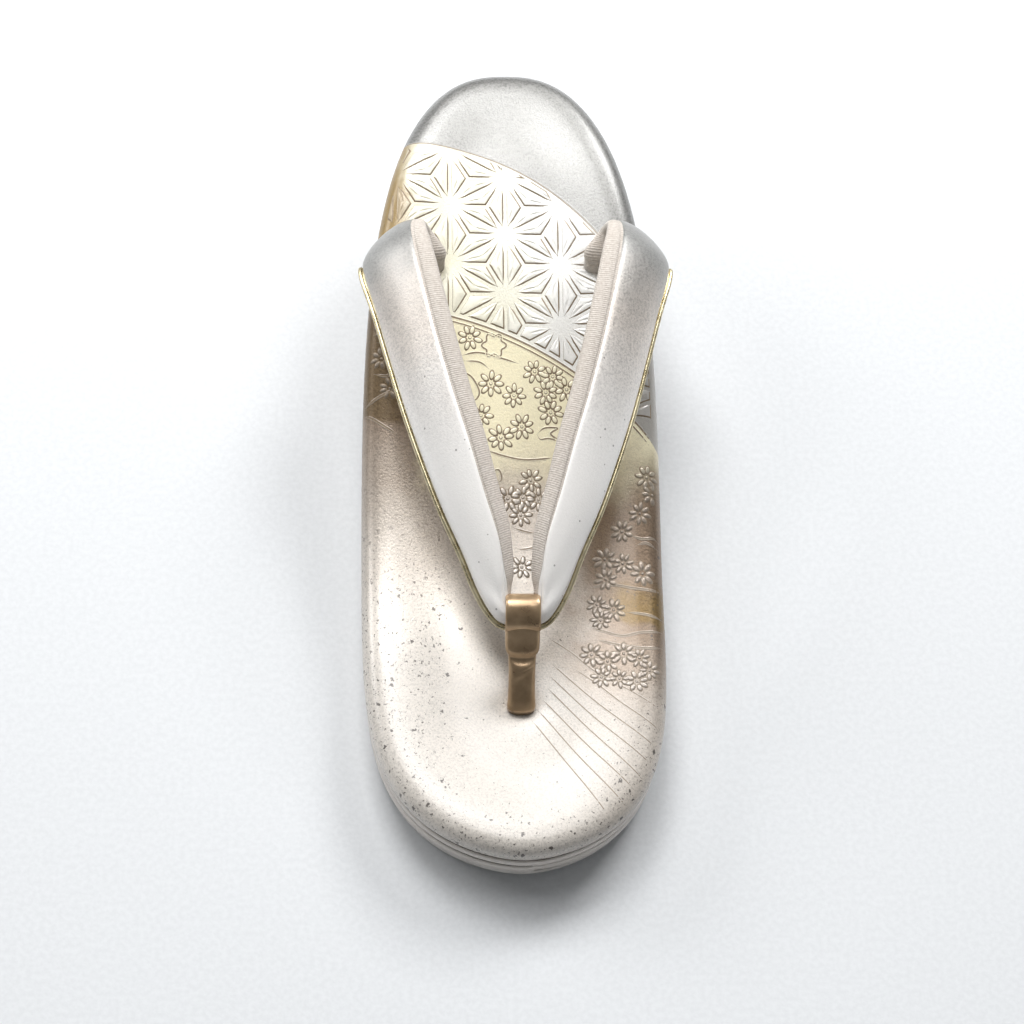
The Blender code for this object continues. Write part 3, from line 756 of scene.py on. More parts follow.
# How far each ring is drawn in, and how high it stands
FACET_RINGS = ((0.42, 0.00), (0.56, 0.02), (0.90, 0.16), (1.15, 0.21), (1.60, 0.24), (2.05, 0.25))
# Where the lattice starts along the sandal, and the shortest side of a facet, in millimetres
LATTICE_FROM, SHORTEST = -10.0, 0.3
# The direction away from the light, and how nearly a side must face it to take a line of painted shade
AWAY_FROM_LIGHT, SHADE_THRESHOLD = Vector((0.55, -0.83)), -0.45
FACET_STEP, CLOSED_WITHIN, OPEN_AFTER = 1.1, 2.2, 3.4


def star(i, j):
    return FIRST_STAR + ACROSS * i + UP * j


def edge_slack(shape):
    """The shape cut back where it would run off the footbed's top."""
    middle = sum(shape, Vector((0, 0))) / len(shape)
    nearest = min(range(len(EDGE_LINE)), key=lambda k: (EDGE_LINE[k] - middle).length)
    ahead = EDGE_LINE[(nearest + 1) % len(EDGE_LINE)] - EDGE_LINE[nearest - 1]
    return clip(shape, EDGE_LINE[nearest], Vector((-ahead.y, ahead.x)).normalized())


EDGE_LINE = inset_ring(1.6)
facets = Relief()
star_places = []
thirds = []
for i in range(-3, 5):
    for j2 in range(-13, 7):
        if (i + j2) % 2 == 0:
            continue
        star_places.append(star(i, j2 / 2))
        for side in (1, -1):
            corners = [star(i, j2 / 2), star(i, j2 / 2 + 1), star(i + side, j2 / 2 + 0.5)]
            centre = sum(corners, Vector((0, 0))) / 3
            for k in range(3):
                thirds.append([corners[k], corners[(k + 1) % 3], centre])
kept = 0
for shape in thirds:
    area = sum(a.x * b.y - b.x * a.y for a, b in zip(shape, shape[1:] + shape[:1]))
    middle = sum(shape, Vector((0, 0))) / 3
    if middle.y < LATTICE_FROM:
        continue
    if area < 0:
        shape = shape[::-1]
    for (cx, cy, radius), outward, slack in ((HEEL_ARC, -1, 0.3), (FIELD_ARC, 1, 0.8)):
        centre = Vector((cx, cy))
        spoke = (middle - centre).normalized()
        shape = clip(shape, centre + spoke * (radius + outward * slack), spoke * outward) if shape else []
    if shape:
        shape = edge_slack(shape)
    shape = [p for k, p in enumerate(shape) if (p - shape[k - 1]).length > SHORTEST]
    if len(shape) < 3 or drawn_in(shape, 1.0) is None:
        continue
    rows = [(inset, rise) for inset, rise in FACET_RINGS if drawn_in(shape, inset + 0.05) is not None]
    outlines = [drawn_in(shape, inset) for inset, rise in rows]
    rings = [[] for _ in rows]
    shaded_sides = []
    for k in range(len(shape)):
        after = (k + 1) % len(shape)
        run = shape[after] - shape[k]
        steps = max(int(run.length / FACET_STEP), 1)
        # A side that faces away from the light gets a line of painted shade
        shaded_sides += [Vector((run.y, -run.x)).normalized().dot(AWAY_FROM_LIGHT) > SHADE_THRESHOLD] * steps
        for step in range(steps):
            spots = [line[k].lerp(line[after], step / steps) for line in outlines]
            near = min((spots[0] - s).length for s in star_places)
            open_share = 0.25 + 0.75 * ease((near - CLOSED_WITHIN) / OPEN_AFTER)
            for n, spot in enumerate(spots):
                if n < 3:
                    spot = spots[min(2, len(spots) - 1)].lerp(spot, open_share)
                rings[n].append(on_pad(spot.x, spot.y, rows[n][1] * open_share + (0.015 if n else -0.03)))
    if all(p is not None for ring in rings for p in ring):
        # The outermost ring takes the wash all round; the next takes painted shade on the sides away from the
        # light
        facets.rings(rings, [1, lambda k: int(shaded_sides[k])] + [0] * len(rows))
        kept += 1
facets.finish("star_facets")
print("facets kept:", kept)


# %% [markdown]
# ## Flowers and flowing lines
#
# Below the lattice the stamp has small chrysanthemums, lines of running water and, at the
# lateral toe, the ribs of a fan. A petal is a raised oval with the wash lying round it, and
# no two are alike, because the die was cut by hand. A line is a groove pressed between two
# low lips: the strip laid for it has the wash in its middle and foil on its lips, and
# narrows at both ends.

# %% Flowers
MIDDLE_FLOWERS = [
    (-13.4, 34.8), (5.7, 24.9), (11.0, 23.4), (-7.3, 21.4), (-0.5, 17.9), (8.9, 18.8), (15.1, 19.7),
    (10.3, 13.0), (-10.3, 12.1), (1.7, 8.9), (-4.5, 5.7), (4.2, -6.8), (-2.6, -12.2), (1.8, -11.9),
    (6.4, -12.5), (1.1, -17.2), (1.2, -32.9),
]
SIDE_FLOWERS = [
    (38.2, -6.3), (39.8, -11.3), (35.9, -17.2), (30.5, -22.6), (30.5, -32.3), (25.4, -36.9),
    (25.3, -30.8), (36.2, -35.4), (22.6, -44.6), (27.4, -46.5), (23.6, -49.6), (20.6, -60.3),
    (25.1, -62.5), (29.8, -60.3), (34.3, -61.8), (23.2, -67.4), (28.3, -68.0), (33.2, -69.0),
    (37.0, -65.6), (-37.1, 19.4), (-39.6, 28.1), (-38.9, 36.9), (-33.4, 31.5),
]
PETAL_RINGS = (
    # size, rise, finish: 1 is wash
    (1.12, -0.02, 1), (1.00, 0.05, 1), (0.84, 0.05, 1), (0.72, 0.12, 0), (0.34, 0.15, 0),
)
PETALS, PETAL_POINTS = 8, 14


def lay_flower(relief, x, y, size):
    """Petals and a bud; size is the flower's half width."""
    turn = chance.random() * math.pi
    ovals = [(0.0, 0.0, 0.12 * size, 0.12 * size)]
    for k in range(PETALS):
        angle = turn + k * 2 * math.pi / PETALS + chance.uniform(-0.09, 0.09)
        reach = size * chance.uniform(0.92, 1.06)
        ovals.append((0.62 * reach, angle, 0.36 * reach, 0.20 * size))
    for away, angle, long, wide in ovals:
        outward = Vector((math.cos(angle), math.sin(angle)))
        sideways = Vector((-outward.y, outward.x))
        rings = []
        for scale, rise, _ in PETAL_RINGS:
            ring = []
            for k in range(PETAL_POINTS):
                bend = 2 * math.pi * k / PETAL_POINTS
                spot = (outward * (away + math.cos(bend) * long * scale)
                        + sideways * (math.sin(bend) * wide * scale))
                ring.append(on_pad(x + spot.x, y + spot.y, rise))
            rings.append(ring)
        if all(p is not None for ring in rings for p in ring):
            relief.rings(rings, [row[2] for row in PETAL_RINGS])


flowers = Relief()
for spots, largest, spread in ((MIDDLE_FLOWERS, 4.1, 0.7), (SIDE_FLOWERS, 3.9, 0.8)):
    for x, y in spots:
        lay_flower(flowers, x, y, largest - spread * chance.random())
flowers.finish("stamped_flowers")


# %% Grooved lines
LINE_SECTION = (
    # across in widths of the line, rise: outer foot, lip, lip, groove, and the same again
    (-1.7, -0.03), (-1.1, 0.4), (-0.8, 0.3), (0.0, 0.02), (0.8, 0.3), (1.1, 0.4), (1.7, -0.03),
)
LINE_FINISHES = (0, 0, 1, 1, 0, 0)


def lay_line(relief, spots, width=0.34, lift=0.12, smooth=True, fade=3.0):
    """A groove between two lips along a run of spots, narrowing at its ends over fade."""
    if smooth and len(spots) > 2:
        spots = smooth_rows(spots, 8)
    path = [Vector(s) for s in spots]
    even = [path[0]]
    for a, b in zip(path, path[1:]):
        steps = max(int((b - a).length / 0.9), 1)
        even += [a.lerp(b, (k + 1) / steps) for k in range(steps)]
    total = sum((b - a).length for a, b in zip(even, even[1:]))
    gone, rows = 0.0, []
    for k, spot in enumerate(even):
        ahead = (even[min(k + 1, len(even) - 1)] - even[max(k - 1, 0)]).normalized()
        if k:
            gone += (spot - even[k - 1]).length
        slim = max(min(ease(gone / fade), ease((total - gone) / fade)), 0.12) if fade else 1.0
        row = [on_pad(spot.x - ahead.y * across * width * slim, spot.y + ahead.x * across * width * slim,
                      rise * lift * slim + 0.012) for across, rise in LINE_SECTION]
        whole = all(p is not None for p in row)
        if whole:
            rows.append(row)
        if len(rows) > 2 and (not whole or k == len(even) - 1):
            relief.rings([list(run) for run in zip(*rows)], LINE_FINISHES, closed=False, cap=False)
        if not whole:
            rows = []


def arc_spots(arc, start, end, shift=0.0):
    """Spots along one of the two circles between two angles in degrees."""
    centre_x, centre_y, radius = arc
    count = 60
    angles = [math.radians(start + (end - start) * k / count) for k in range(count + 1)]
    return [(centre_x + (radius + shift) * math.cos(a), centre_y + (radius + shift) * math.sin(a))
            for a in angles]


lines = Relief()
lay_line(lines, arc_spots(HEEL_ARC, 96, 12), smooth=False)
lay_line(lines, arc_spots(FIELD_ARC, 91, 40), smooth=False)
lay_line(lines, arc_spots(FIELD_ARC, 91, 40, -1.3), 0.28, smooth=False)
WATER = [
    [(-9.2, 2.2), (-4.2, 0.5), (1.3, -0.7), (6.3, -0.7), (11.3, -0.1)],
    [(-1.8, -20.5), (1.9, -22.0), (5.7, -22.6)],
    [(-0.8, -27.1), (2.1, -27.4), (5.0, -26.5), (5.6, -24.2), (3.6, -22.9)],
    [(-16.1, 25.2), (-12.9, 23.2), (-10.8, 19.4), (-11.4, 17.1), (-13.5, 15.9)],
    [(-16.0, 29.5), (-11.0, 30.4), (-5.0, 29.0), (1.0, 27.2)],
    [(-15.4, 28.0), (-10.6, 27.6), (-7.8, 25.6)],
    [(6.2, 6.6), (8.3, 8.4), (12.2, 8.4), (10.2, 6.8), (12.4, 4.9), (9.6, 5.4), (7.2, 5.2), (6.2, 6.6)],
    [(-8.0, -4.4), (-5.2, -3.8), (-4.4, -6.6), (-6.4, -7.8)],
    [(20.4, -39.4), (27.1, -38.7), (34.3, -40.0), (42.1, -40.6)],
    [(31.1, -47.4), (36.9, -48.1), (41.7, -49.3)],
    [(20.3, -51.5), (25.2, -53.4), (29.7, -54.7), (35.2, -53.7), (41.6, -53.1)],
    [(22.2, -55.6), (29.6, -57.8), (36.0, -58.6), (41.3, -58.1)],
    [(33.0, -23.6), (36.2, -24.8), (39.6, -24.4), (41.4, -25.4)],
    [(34.2, -27.0), (37.6, -26.0), (41.0, -27.6)],
    [(-45.0, 14.4), (-41.2, 16.5), (-36.5, 18.8), (-32.9, 20.5), (-28.0, 23.0)],
    [(-45.0, 13.0), (-39.4, 8.9), (-34.7, 6.0)],
    [(-42.0, 24.0), (-38.0, 23.0), (-34.6, 25.2), (-31.0, 25.0)],
    [(-41.0, 33.0), (-37.4, 32.6), (-35.6, 34.4), (-32.8, 35.6)],
]
FAN = [
    [(8.4, -55.0), (14.9, -59.7), (21.9, -65.9), (31.6, -72.1), (40.5, -77.9)],
    [(15.0, -64.3), (21.7, -69.3), (28.9, -75.7), (40.2, -84.3)],
    [(9.1, -63.1), (22.9, -76.3), (38.2, -89.2)],
    [(8.4, -66.8), (21.4, -80.3), (36.6, -94.5)],
    [(7.7, -70.5), (19.8, -84.0), (34.6, -99.7)],
    [(6.2, -73.9), (18.3, -88.0), (30.9, -101.8)],
    [(4.7, -77.0), (16.7, -92.6), (29.2, -107.7)],
    [(2.9, -80.3), (14.3, -96.3), (23.8, -110.5)],
]
for run in WATER:
    lay_line(lines, run, 0.30)
for run in FAN:
    lay_line(lines, run, 0.24, 0.05)
# A six-lobed ring above the flowers: its middle, its half width and the depth of its lobes
RING_X, RING_Y, RING_REACH, LOBE = -6.3, 32.5, 3.1, 0.55
turns = [2 * math.pi * k / 48 for k in range(49)]
reaches = [RING_REACH + LOBE * math.cos(6 * a) for a in turns]
scallop = [(RING_X + r * math.cos(a), RING_Y + r * math.sin(a)) for a, r in zip(turns, reaches)]
lay_line(lines, scallop, 0.30, smooth=False, fade=0)
lines.finish("stamped_lines")


# %% [markdown]
# ## The strap
#
# The strap is a padded tube: foil leather over cotton, lined with velour that shows as a
# strip along the inner edge, narrowest beside the loop. Its section is a lens with a step,
# and it runs from the bar behind the toe post, up and out along both arms, and folds down
# to a round tail at each rear hole. The rows of the solid are repeated with finer steps,
# and the section's points are shared out between the cover and the lining. Flat padded
# strapping like this keeps its form, so it is lofted and not simulated.

# %% Strap rows
# Half of the strap's greatest width, its height over the footbed and its thickness, the tail's
# width and thickness, the cord's radius, and where the strap's front is along the sandal
SPREAD, STRAP_LIFT, THICK = 44.8, 31.8, 7.0
TAIL_WIDTH, TAIL_THICK, CORD, FRONT_Y = 8.6, 4.6, 1.0, POST_Y + 18.4
STRAP_ROWS = (
    # outer_out, outer_back, outer_lift, inner_out, inner_back, inner_lift, thick
    (0.000, 0.000, 0.453, 0.000, 0.044, 0.610, 0.74),
    (0.116, 0.002, 0.453, 0.074, 0.046, 0.610, 0.76),
    (0.192, 0.025, 0.478, 0.078, 0.072, 0.648, 0.86),
    (0.279, 0.083, 0.531, 0.062, 0.116, 0.726, 0.98),
    (0.373, 0.171, 0.610, 0.084, 0.208, 0.862, 1.02),
    (0.498, 0.280, 0.664, 0.158, 0.314, 0.953, 1.00),
    (0.612, 0.399, 0.670, 0.234, 0.428, 1.000, 1.00),
    (0.723, 0.531, 0.619, 0.326, 0.551, 0.987, 1.00),
    (0.826, 0.676, 0.513, 0.413, 0.683, 0.931, 1.00),
    (0.920, 0.815, 0.403, 0.491, 0.819, 0.824, 0.98),
    (1.000, 0.929, 0.286, 0.556, 0.946, 0.673, 0.92),
)
FOLD_ROWS = (
    (0.428, -0.37, 0.208, 0.033, 0.20, 0.557, 0.86),
    (0.330, 0.34, 0.150, 0.036, 0.80, 0.410, 0.80),
    (0.205, 0.66, 0.118, 0.000, 0.86, 0.250, 0.72),
)
PROFILE = (
    # across, height, turn on the round tail
    (0.000, -0.05, 0.00), (0.035, 0.17, 0.12), (0.130, 0.40, 0.25), (0.280, 0.56, 0.38),
    (0.470, 0.64, 0.50), (0.640, 0.62, 0.60), (0.790, 0.53, 0.70), (0.835, 0.40, 0.78),
    (0.865, 0.42, 0.85), (0.945, 0.28, 0.93), (1.000, 0.04, 1.00), (0.970, -0.20, 1.15),
    (0.820, -0.33, 1.33), (0.500, -0.36, 1.50), (0.180, -0.33, 1.67), (0.040, -0.22, 1.85),
)
FINE = 8


def half_rows():
    """Half of the strap as rows of outer and inner edge, thickness and roundness."""
    run = HOLE_Y - FRONT_Y
    rows = []
    for out_a, back_a, lift_a, out_b, back_b, lift_b, thick in STRAP_ROWS:
        ya, yb = FRONT_Y + back_a * run, FRONT_Y + back_b * run
        rows.append((out_a * SPREAD, ya, crest(ya) + lift_a * STRAP_LIFT,
                     out_b * SPREAD, yb, crest(yb) + lift_b * STRAP_LIFT, thick * THICK, 0.0))
    for out_a, back_a, lift_a, out_b, back_b, lift_b, thick in FOLD_ROWS:
        ya, yb = HOLE_Y + back_a * THICK, HOLE_Y + back_b * THICK
        rows.append((HOLE_X + out_a * SPREAD, ya, crest(ya) + lift_a * STRAP_LIFT,
                     HOLE_X + out_b * SPREAD, yb, crest(yb) + lift_b * STRAP_LIFT, thick * THICK, 0.3))
    top, bend = crest(HOLE_Y), HOLE_Y + 0.35 * TAIL_THICK
    outer, inner = HOLE_X + TAIL_WIDTH / 2, HOLE_X - TAIL_WIDTH / 2
    rows.append((outer, bend, top + TAIL_THICK, inner, bend, top + 1.2 * TAIL_THICK, TAIL_THICK, 0.8))
    for depth in (-0.22, 0.2, 0.6, 1.0):
        height = top - depth * PAD
        rows.append((outer, HOLE_Y, height, inner, HOLE_Y, height, TAIL_THICK, 1.0))
    return rows


half = half_rows()
other = [(-r[0], r[1], r[2], -r[3], r[4], r[5], r[6], r[7]) for r in reversed(half[1:])]
strap_rows = smooth_rows(other + half, FINE)
CENTRE = len(strap_rows) // 2
profile = smooth_rows(PROFILE, 4, closed=True)
AROUND = len(profile)
# The turn jumps back to 0 at the end of the profile, so its last steps are given here
profile[-4:] = [(a, h, 1.85 + 0.0375 * k) for k, (a, h, _) in enumerate(profile[-4:])]

outers = [Vector(r[0:3]) for r in strap_rows]
inners = [Vector(r[3:6]) for r in strap_rows]
middles = [a.lerp(b, 0.5) for a, b in zip(outers, inners)]
lengths = [0.0]
for a, b in zip(middles, middles[1:]):
    lengths.append(lengths[-1] + (b - a).length)
# Each section: its outer edge, the directions across and up, its width, thickness and roundness
strap_frames = []
for k, row in enumerate(strap_rows):
    ahead = middles[min(k + 1, len(middles) - 1)] - middles[max(k - 1, 0)]
    across = inners[k] - outers[k]
    normal = ahead.cross(across).normalized()
    strap_frames.append((outers[k], across.normalized(), normal, across.length, row[6], row[7]))
print("strap run:", round(lengths[-1]), "mm from tail to tail, sections:", len(strap_frames))


# %% Strap sections and their split into cover and lining
def pinch(k, share):
    """Soft wrinkles where the padded arms are gathered into the loop."""
    away = abs(k - CENTRE) / FINE
    near = math.exp(-((away - 2.4) / 1.1) ** 2)
    return 0.32 * near * math.sin(9.0 * share + 2.2 * away)


def strap_ring(k):
    """The closed section of the strap at k; the tails end level, inside the footbed."""
    outer, across, normal, width, thick, roundness = strap_frames[k]
    ring = []
    for a_share, h_share, turn in profile:
        a = a_share + roundness * (0.5 - 0.5 * math.cos(math.pi * turn) - a_share)
        rise = (h_share + roundness * (0.5 * math.sin(math.pi * turn) - h_share)) * thick
        if 0.1 < a_share < 0.76 and h_share > 0.2:
            rise += pinch(k, a_share) * min((a_share - 0.1) * 6, (0.76 - a_share) * 8, 1)
        spot = outer + across * (a * width) + normal * rise
        if k in (0, len(strap_frames) - 1):
            spot.z = pad_bottom(spot.y)
        ring.append(spot)
    return ring


strap_rings = [strap_ring(k) for k in range(len(strap_frames))]
girths = [sum((ring[n] - ring[n - 1]).length for n in range(AROUND)) for ring in strap_rings]
print("strap girth:", round(min(girths)), "to", round(max(girths)), "mm")
# The cover starts under the outer edge and runs to the rear folds, 12.3 rows from the middle
COVER_FROM, FOLD_END = -3, int(12.3 * FINE)
COVER_ENDS = (26.2, 37.0)
COVER_POINTS, LINING_POINTS = 34, 36


def spot_on(k, place):
    """A point of section k at a fractional step along its profile."""
    low = math.floor(place)
    return strap_rings[k][low % AROUND].lerp(strap_rings[k][(low + 1) % AROUND], place - low)


def cover_end(k):
    """Where the cover stops on the profile: nearer the inner edge beside the loop."""
    return COVER_ENDS[0] + (COVER_ENDS[1] - COVER_ENDS[0]) * ease((36 - abs(k - CENTRE)) / 22)


def strap_part(name, chosen, first, last, count, lift, finish):
    """The strip of the strap between two places on its section, which are functions of k.

    lift says how far each of its points stands off the section."""
    points, uvs = [], []
    for k in chosen:
        normal = strap_frames[k][2]
        far, before = 0.0, None
        for n in range(count):
            spot = spot_on(k, first(k) + (last(k) - first(k)) * n / (count - 1))
            far += (spot - before).length if before else 0.0
            before = spot
            uvs.append((0.001 * lengths[k], 0.001 * far))
            points.append(spot + normal * lift(n))
    made = piece(name, points, bands(len(chosen), count, closed=False), [finish], uvs=uvs)
    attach(made, "root")
    return made


# %% [markdown]
# ## Finishes of the strap, the cord and the post
#
# The strap's foil goes from silver at the rear through champagne to pearl white in front,
# with a fine print of grain. The lining is cotton velour: matt, with a nap that is lighter
# at grazing angles and small gathers across it. The cord is gold foil over a core, and the
# post is a folded band of bronze foil leather, mottled where it is rubbed.

# %% Strap leather
strap_foil, tree, shader = new_finish("graded_foil_leather", Coat_Weight=0.6, Coat_Roughness=0.36)
# Foil leather, sprayed: metal at the rear, pearl lacquer in front, with pores of 0.4 mm and a
# grain drawn at 0.7 mm so that it shows
place = add(tree, "VectorMath", {0: add(tree, "TexCoord", out="Object"), "Scale": 1000.0}, operation="SCALE")
y = add(tree, "SeparateXYZ", {0: place}, out=1)
cloud = add(tree, "TexNoise", {"Vector": place, "Scale": 1 / 14.29, "Detail": 2.0})
wavy_y = add(tree, "Math", {0: cloud, 1: 18.0, 2: y}, operation="MULTIPLY_ADD")
rear = zone(tree, (y, -25.0, 25.0))
colour = sprayed(tree, "#A8A7A4",
                 (zone(tree, (wavy_y, 64.0, 30.0)), "#E0D6CC"),
                 (zone(tree, (wavy_y, 46.0, -6.0)), "#FAF7F3"))
grain = add(tree, "TexNoise", {"Vector": place, "Scale": 1 / 0.7143, "Detail": 4.0, "Roughness": 0.75})
speckle = add(tree, "ValToRGB", {"Fac": grain}, stops=((0.38, 0.50), (0.56, 1.0)))
colour = add(tree, "Mix", {0: add(tree, "MapRange", {"Value": rear, 3: 0.06, 4: 0.6}), 6: colour, 7: speckle},
             out=2, data_type="RGBA", blend_type="MULTIPLY")
# A few dark specks in front: one room of 1.25 mm in thirty holds one
speck = {"Vector": place, "Scale": 1 / 1.25}
pick = add(tree, "SeparateXYZ", {0: add(tree, "TexVoronoi", speck, out=1)})
taken = add(tree, "Math", {0: pick, 1: 0.035}, operation="LESS_THAN")
dark = zone(tree, (add(tree, "TexVoronoi", speck), 0.30, 0.2), (y, 30.0, 10.0),
            within=add(tree, "Math", {0: taken, 1: 0.7}, operation="MULTIPLY"))
pore = add(tree, "TexVoronoi", {"Vector": place, "Scale": 1 / 0.4167})
pitted = add(tree, "Bump", {"Height": pore, "Strength": 0.22, "Distance": 0.0001})
feed(tree, shader,
     Base_Color=sprayed(tree, colour, (dark, "#77706A")),
     Metallic=add(tree, "MapRange", {"Value": rear, 3: 0.03, 4: 0.55}),
     Roughness=add(tree, "MapRange", {"Value": grain, 1: 0.35, 2: 0.65, 3: 0.30, 4: 0.50}),
     Normal=add(tree, "Bump", {"Height": grain, "Strength": 0.45, "Distance": 0.0002, "Normal": pitted}))

# %% Velour, cord and post
velour, tree, shader = new_finish("cotton_velour", Roughness=0.9, Sheen_Weight=0.5, Sheen_Roughness=0.4)
# Short nap, pinkish white, drawn at 0.7 mm; gathers 0.65 mm apart run across the strap
GATHER = 0.65
along = add(tree, "SeparateXYZ", {0: add(tree, "UVMap", uv_map="run")}, out=0)
phase = add(tree, "Math", {0: along, 1: 2000 * math.pi / GATHER}, operation="MULTIPLY")
rib = add(tree, "Math", {0: phase}, operation="SINE")
nap = add(tree, "TexNoise", {"Vector": add(tree, "TexCoord", out="Object"), "Scale": 1000 / 0.7143,
                             "Detail": 3.0})
tone = add(tree, "ValToRGB", {"Fac": nap}, stops=((0.3, "#C4BAB0"), (0.7, "#DDD5CC")))
shade = add(tree, "MapRange", {"Value": rib, 1: -1.0, 2: 1.0, 3: 0.0, 4: 0.14})
ribbed = add(tree, "Bump", {"Height": rib, "Strength": 0.35, "Distance": 0.0002})
feed(tree, shader, Base_Color=sprayed(tree, tone, (shade, "#A89E92")),
     Normal=add(tree, "Bump", {"Height": nap, "Strength": 0.4, "Distance": 0.0002, "Normal": ribbed}))

gold_foil, tree, shader = new_finish("gold_foil_cord", Metallic=0.9)
# Gold foil wound on a cotton core: bright, in clouds of 4 mm where the foil creased
cloud = add(tree, "TexNoise", {"Vector": add(tree, "TexCoord", out="Object"), "Scale": 1000 / 3.846,
                               "Detail": 3.0})
feed(tree, shader,
     Base_Color=add(tree, "ValToRGB", {"Fac": cloud}, stops=((0.3, "#B9AB86"), (0.65, "#E0D5B4"))),
     Roughness=add(tree, "MapRange", {"Value": cloud, 3: 0.2, 4: 0.36}),
     Normal=add(tree, "Bump", {"Height": cloud, "Strength": 0.2, "Distance": 0.0001}))

bronze_foil, tree, shader = new_finish("bronze_foil_leather", Metallic=0.62, Coat_Weight=0.2,
                                       Coat_Roughness=0.3)
# Folded band of bronze foil leather: satin, paler in clouds of 5 mm, with a grain of 0.6 mm
place = add(tree, "TexCoord", out="Object")
cloud = add(tree, "TexNoise", {"Vector": place, "Scale": 1000 / 5.263, "Detail": 4.0})
pore = add(tree, "TexNoise", {"Vector": place, "Scale": 1000 / 0.5556, "Detail": 3.0})
feed(tree, shader,
     Base_Color=add(tree, "ValToRGB", {"Fac": cloud}, stops=((0.3, "#9A8062"), (0.7, "#C4A886"))),
     Roughness=add(tree, "MapRange", {"Value": cloud, 3: 0.24, 4: 0.34}),
     Normal=add(tree, "Bump", {"Height": pore, "Strength": 0.2, "Distance": 0.0001}))


# %% Cover, lining and tails
body = range(CENTRE - FOLD_END, CENTRE + FOLD_END + 1)
cover = strap_part("strap_cover", body, lambda k: COVER_FROM, cover_end, COVER_POINTS,
                   lambda n: -0.3 if n == COVER_POINTS - 1 else 0.0, strap_foil)
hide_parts("strap")
lining = strap_part("strap_lining", body, lambda k: cover_end(k) - 0.6, lambda k: AROUND + COVER_FROM,
                    LINING_POINTS, lambda n: -0.15 if n == 0 else 0.0, velour)
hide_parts("strap")
for side, ends in (("medial", range(0, CENTRE - FOLD_END + 1)),
                   ("lateral", range(CENTRE + FOLD_END, len(strap_frames)))):
    tail = strap_part(side + "_tail", ends, lambda k: 0, lambda k: AROUND, AROUND + 1,
                      lambda n: 0.0, velour)
    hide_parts("strap")


# %% [markdown]
# ## The gold cord
#
# A thin gold cord edges the strap. A narrow flange of the same foil joins it to the seam,
# so a dark line shows between the two bright ones. Both are lofted beside the strap's own
# sections, so they follow its edge, and the cord's two rear ends close with a blunt cap.

# %% Cord with its flange
CORD_SPAN = range(60, len(strap_frames) - 60)
CORD_POINTS, CORD_SHARE = 16, 0.72
FLANGE_SECTION = (
    # across toward the strap and up, in radii of the solid's cord
    (0.45, 0.30), (0.70, 0.02), (1.00, 0.00), (1.22, 0.34), (1.60, 0.50),
)


def beside_strap(k, across_share, up_share):
    """A place beside section k, from the middle of the cord, in radii of the solid's cord."""
    outer, across, normal, width, thick, roundness = strap_frames[k]
    centre = outer - across * (CORD + GAP) - normal * (0.12 * thick)
    return centre + across * (across_share * CORD) + normal * (up_share * CORD)


def cord_section(k, radius=CORD_SHARE):
    turns = [2 * math.pi * (n + 0.5) / CORD_POINTS for n in range(CORD_POINTS)]
    return [beside_strap(k, radius * math.cos(t), radius * math.sin(t)) for t in turns]


rings = [cord_section(k) for k in CORD_SPAN]
caps = []
for last, before in ((rings[0], rings[1]), (rings[-1], rings[-2])):
    push = (last[0] - before[0]).normalized() * 0.4
    caps.append([spot + push for spot in cord_section(CORD_SPAN[0 if last is rings[0] else -1],
                                                      0.35 * CORD_SHARE)])
rings = [caps[0]] + rings + [caps[1]]
print("cord length:", round(sum((b[0] - a[0]).length for a, b in zip(rings, rings[1:]))), "mm")
points = [p for ring in rings for p in ring]
faces = [tuple(range(CORD_POINTS)), tuple(range(len(points) - CORD_POINTS, len(points)))]
cord_piece = piece("strap_cord", points, faces + bands(len(rings), CORD_POINTS), [gold_foil])
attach(cord_piece, "root")
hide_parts("strap_piping")

points = [beside_strap(k, across_share, up_share)
          for k in CORD_SPAN for across_share, up_share in FLANGE_SECTION]
faces = bands(len(CORD_SPAN), len(FLANGE_SECTION), closed=False)
flange = piece("cord_flange", points, faces, [gold_foil])
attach(flange, "root")


# %% [markdown]
# ## The toe post
#
# One band of leather is looped over the front of the strap, pinched together below it and
# led down into the footbed. The loop is a closed band round the bar. The stem below is a
# folded column: flat just under the loop, pinched at a deep crease that curves like a
# smile, with a soft diagonal fold lower down. Its last rows are inside the footbed.

# %% Loop round the front of the strap
POST_W, POST_T, WALL = 10.0, 5.0, 1.9
LOOP_STEPS, BAND_POINTS = 96, 24
outer, across, normal, width, thick, roundness = strap_frames[CENTRE]
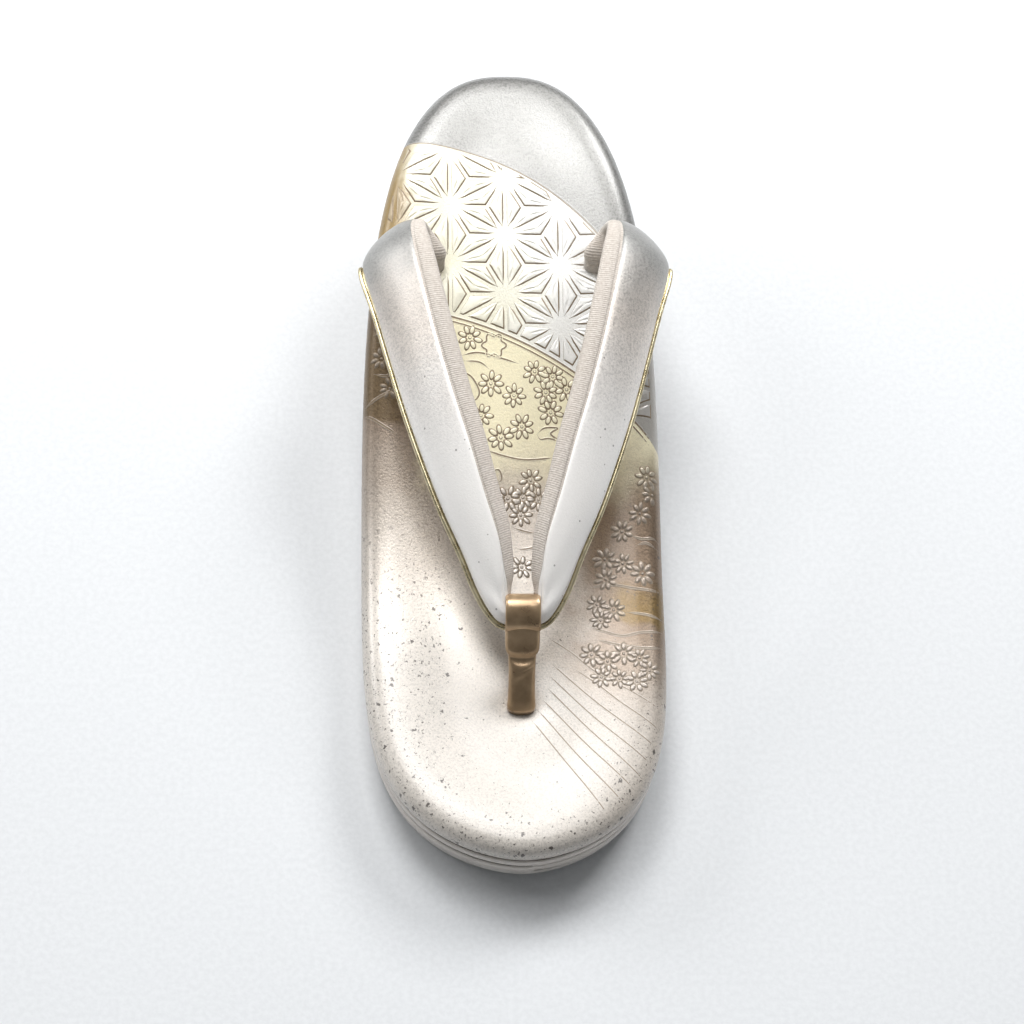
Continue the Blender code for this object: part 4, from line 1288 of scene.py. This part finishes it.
# The loop's inside, from the bar that it is wrapped round and its clearance
front, back = -GAP, width + GAP
under, over = -0.36 * thick - GAP, 0.64 * thick + GAP
middle = outer + across * ((front + back) / 2) + normal * ((under + over) / 2)
points = []
for step in range(LOOP_STEPS):
    angle = 2 * math.pi * step / LOOP_STEPS
    bend_a, bend_n = bowed(math.cos(angle), 0.92), bowed(math.sin(angle), 0.92)
    for n in range(BAND_POINTS):
        t = 2 * math.pi * (n + 0.5) / BAND_POINTS
        x = bowed(math.cos(t), 0.35) * POST_W / 2
        wall = WALL * (0.5 + 0.5 * bowed(math.sin(t), 0.45))
        points.append(middle + across * (bend_a * ((back - front) / 2 + wall))
                      + normal * (bend_n * ((over - under) / 2 + wall)) + Vector((x, 0, 0)))
faces = [tuple(v % len(points) for v in face) for face in bands(LOOP_STEPS + 1, BAND_POINTS)]

# %% Stem below the loop
STEM = smooth_rows([
    # share of the way down, width and depth as shares of the post's
    (0.00, 0.99, 1.05), (0.16, 0.99, 1.02), (0.32, 0.96, 0.94), (0.40, 0.80, 0.56), (0.47, 0.78, 0.90),
    (0.55, 0.76, 0.98), (0.72, 0.76, 1.00), (0.88, 0.78, 1.00), (1.04, 0.82, 1.00), (1.20, 0.82, 1.00),
], 8)
STEM_POINTS, KNEE_AT, BURIED = 48, 0.72, 22.0
start = outer + across * 2.4 + normal * (0.44 * thick)
entry = Vector((0.0, POST_Y, crest(POST_Y)))
knee = entry + across * (0.35 * (FRONT_Y - POST_Y))
along = (knee - start).normalized()
loop_points = len(points)
for down, wide, deep in STEM:
    bent = min(max(down - KNEE_AT, 0.0) / (1 - KNEE_AT), 1.0)
    centre = start.lerp(knee, min(down / KNEE_AT, 1.0)).lerp(entry, bent)
    if down > 1.0:
        centre = entry - Vector((0, 0, (down - 1.0) * BURIED))
    facing = normal.lerp(Vector((0, -1, 0)), bent).normalized()
    for n in range(STEM_POINTS):
        angle = 2 * math.pi * n / STEM_POINTS
        x = bowed(math.cos(angle), 0.8)
        out = bowed(math.sin(angle), 0.55 if down < 0.38 else 0.85)
        smile = (1 - x * x) * math.exp(-((down - 0.43) / 0.08) ** 2)
        fold = -0.30 * math.exp(-((down - 0.58 + 0.09 * x) / 0.03) ** 2) * max(out, 0)
        points.append(centre + Vector((x * wide * POST_W / 2, 0, 0)) + along * smile
                      + facing * (out * deep * POST_T / 2 + fold))
faces += bands(len(STEM), STEM_POINTS, loop_points)
post = piece("toe_band", points, faces, [bronze_foil])
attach(post, "root")
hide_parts("toe_post")
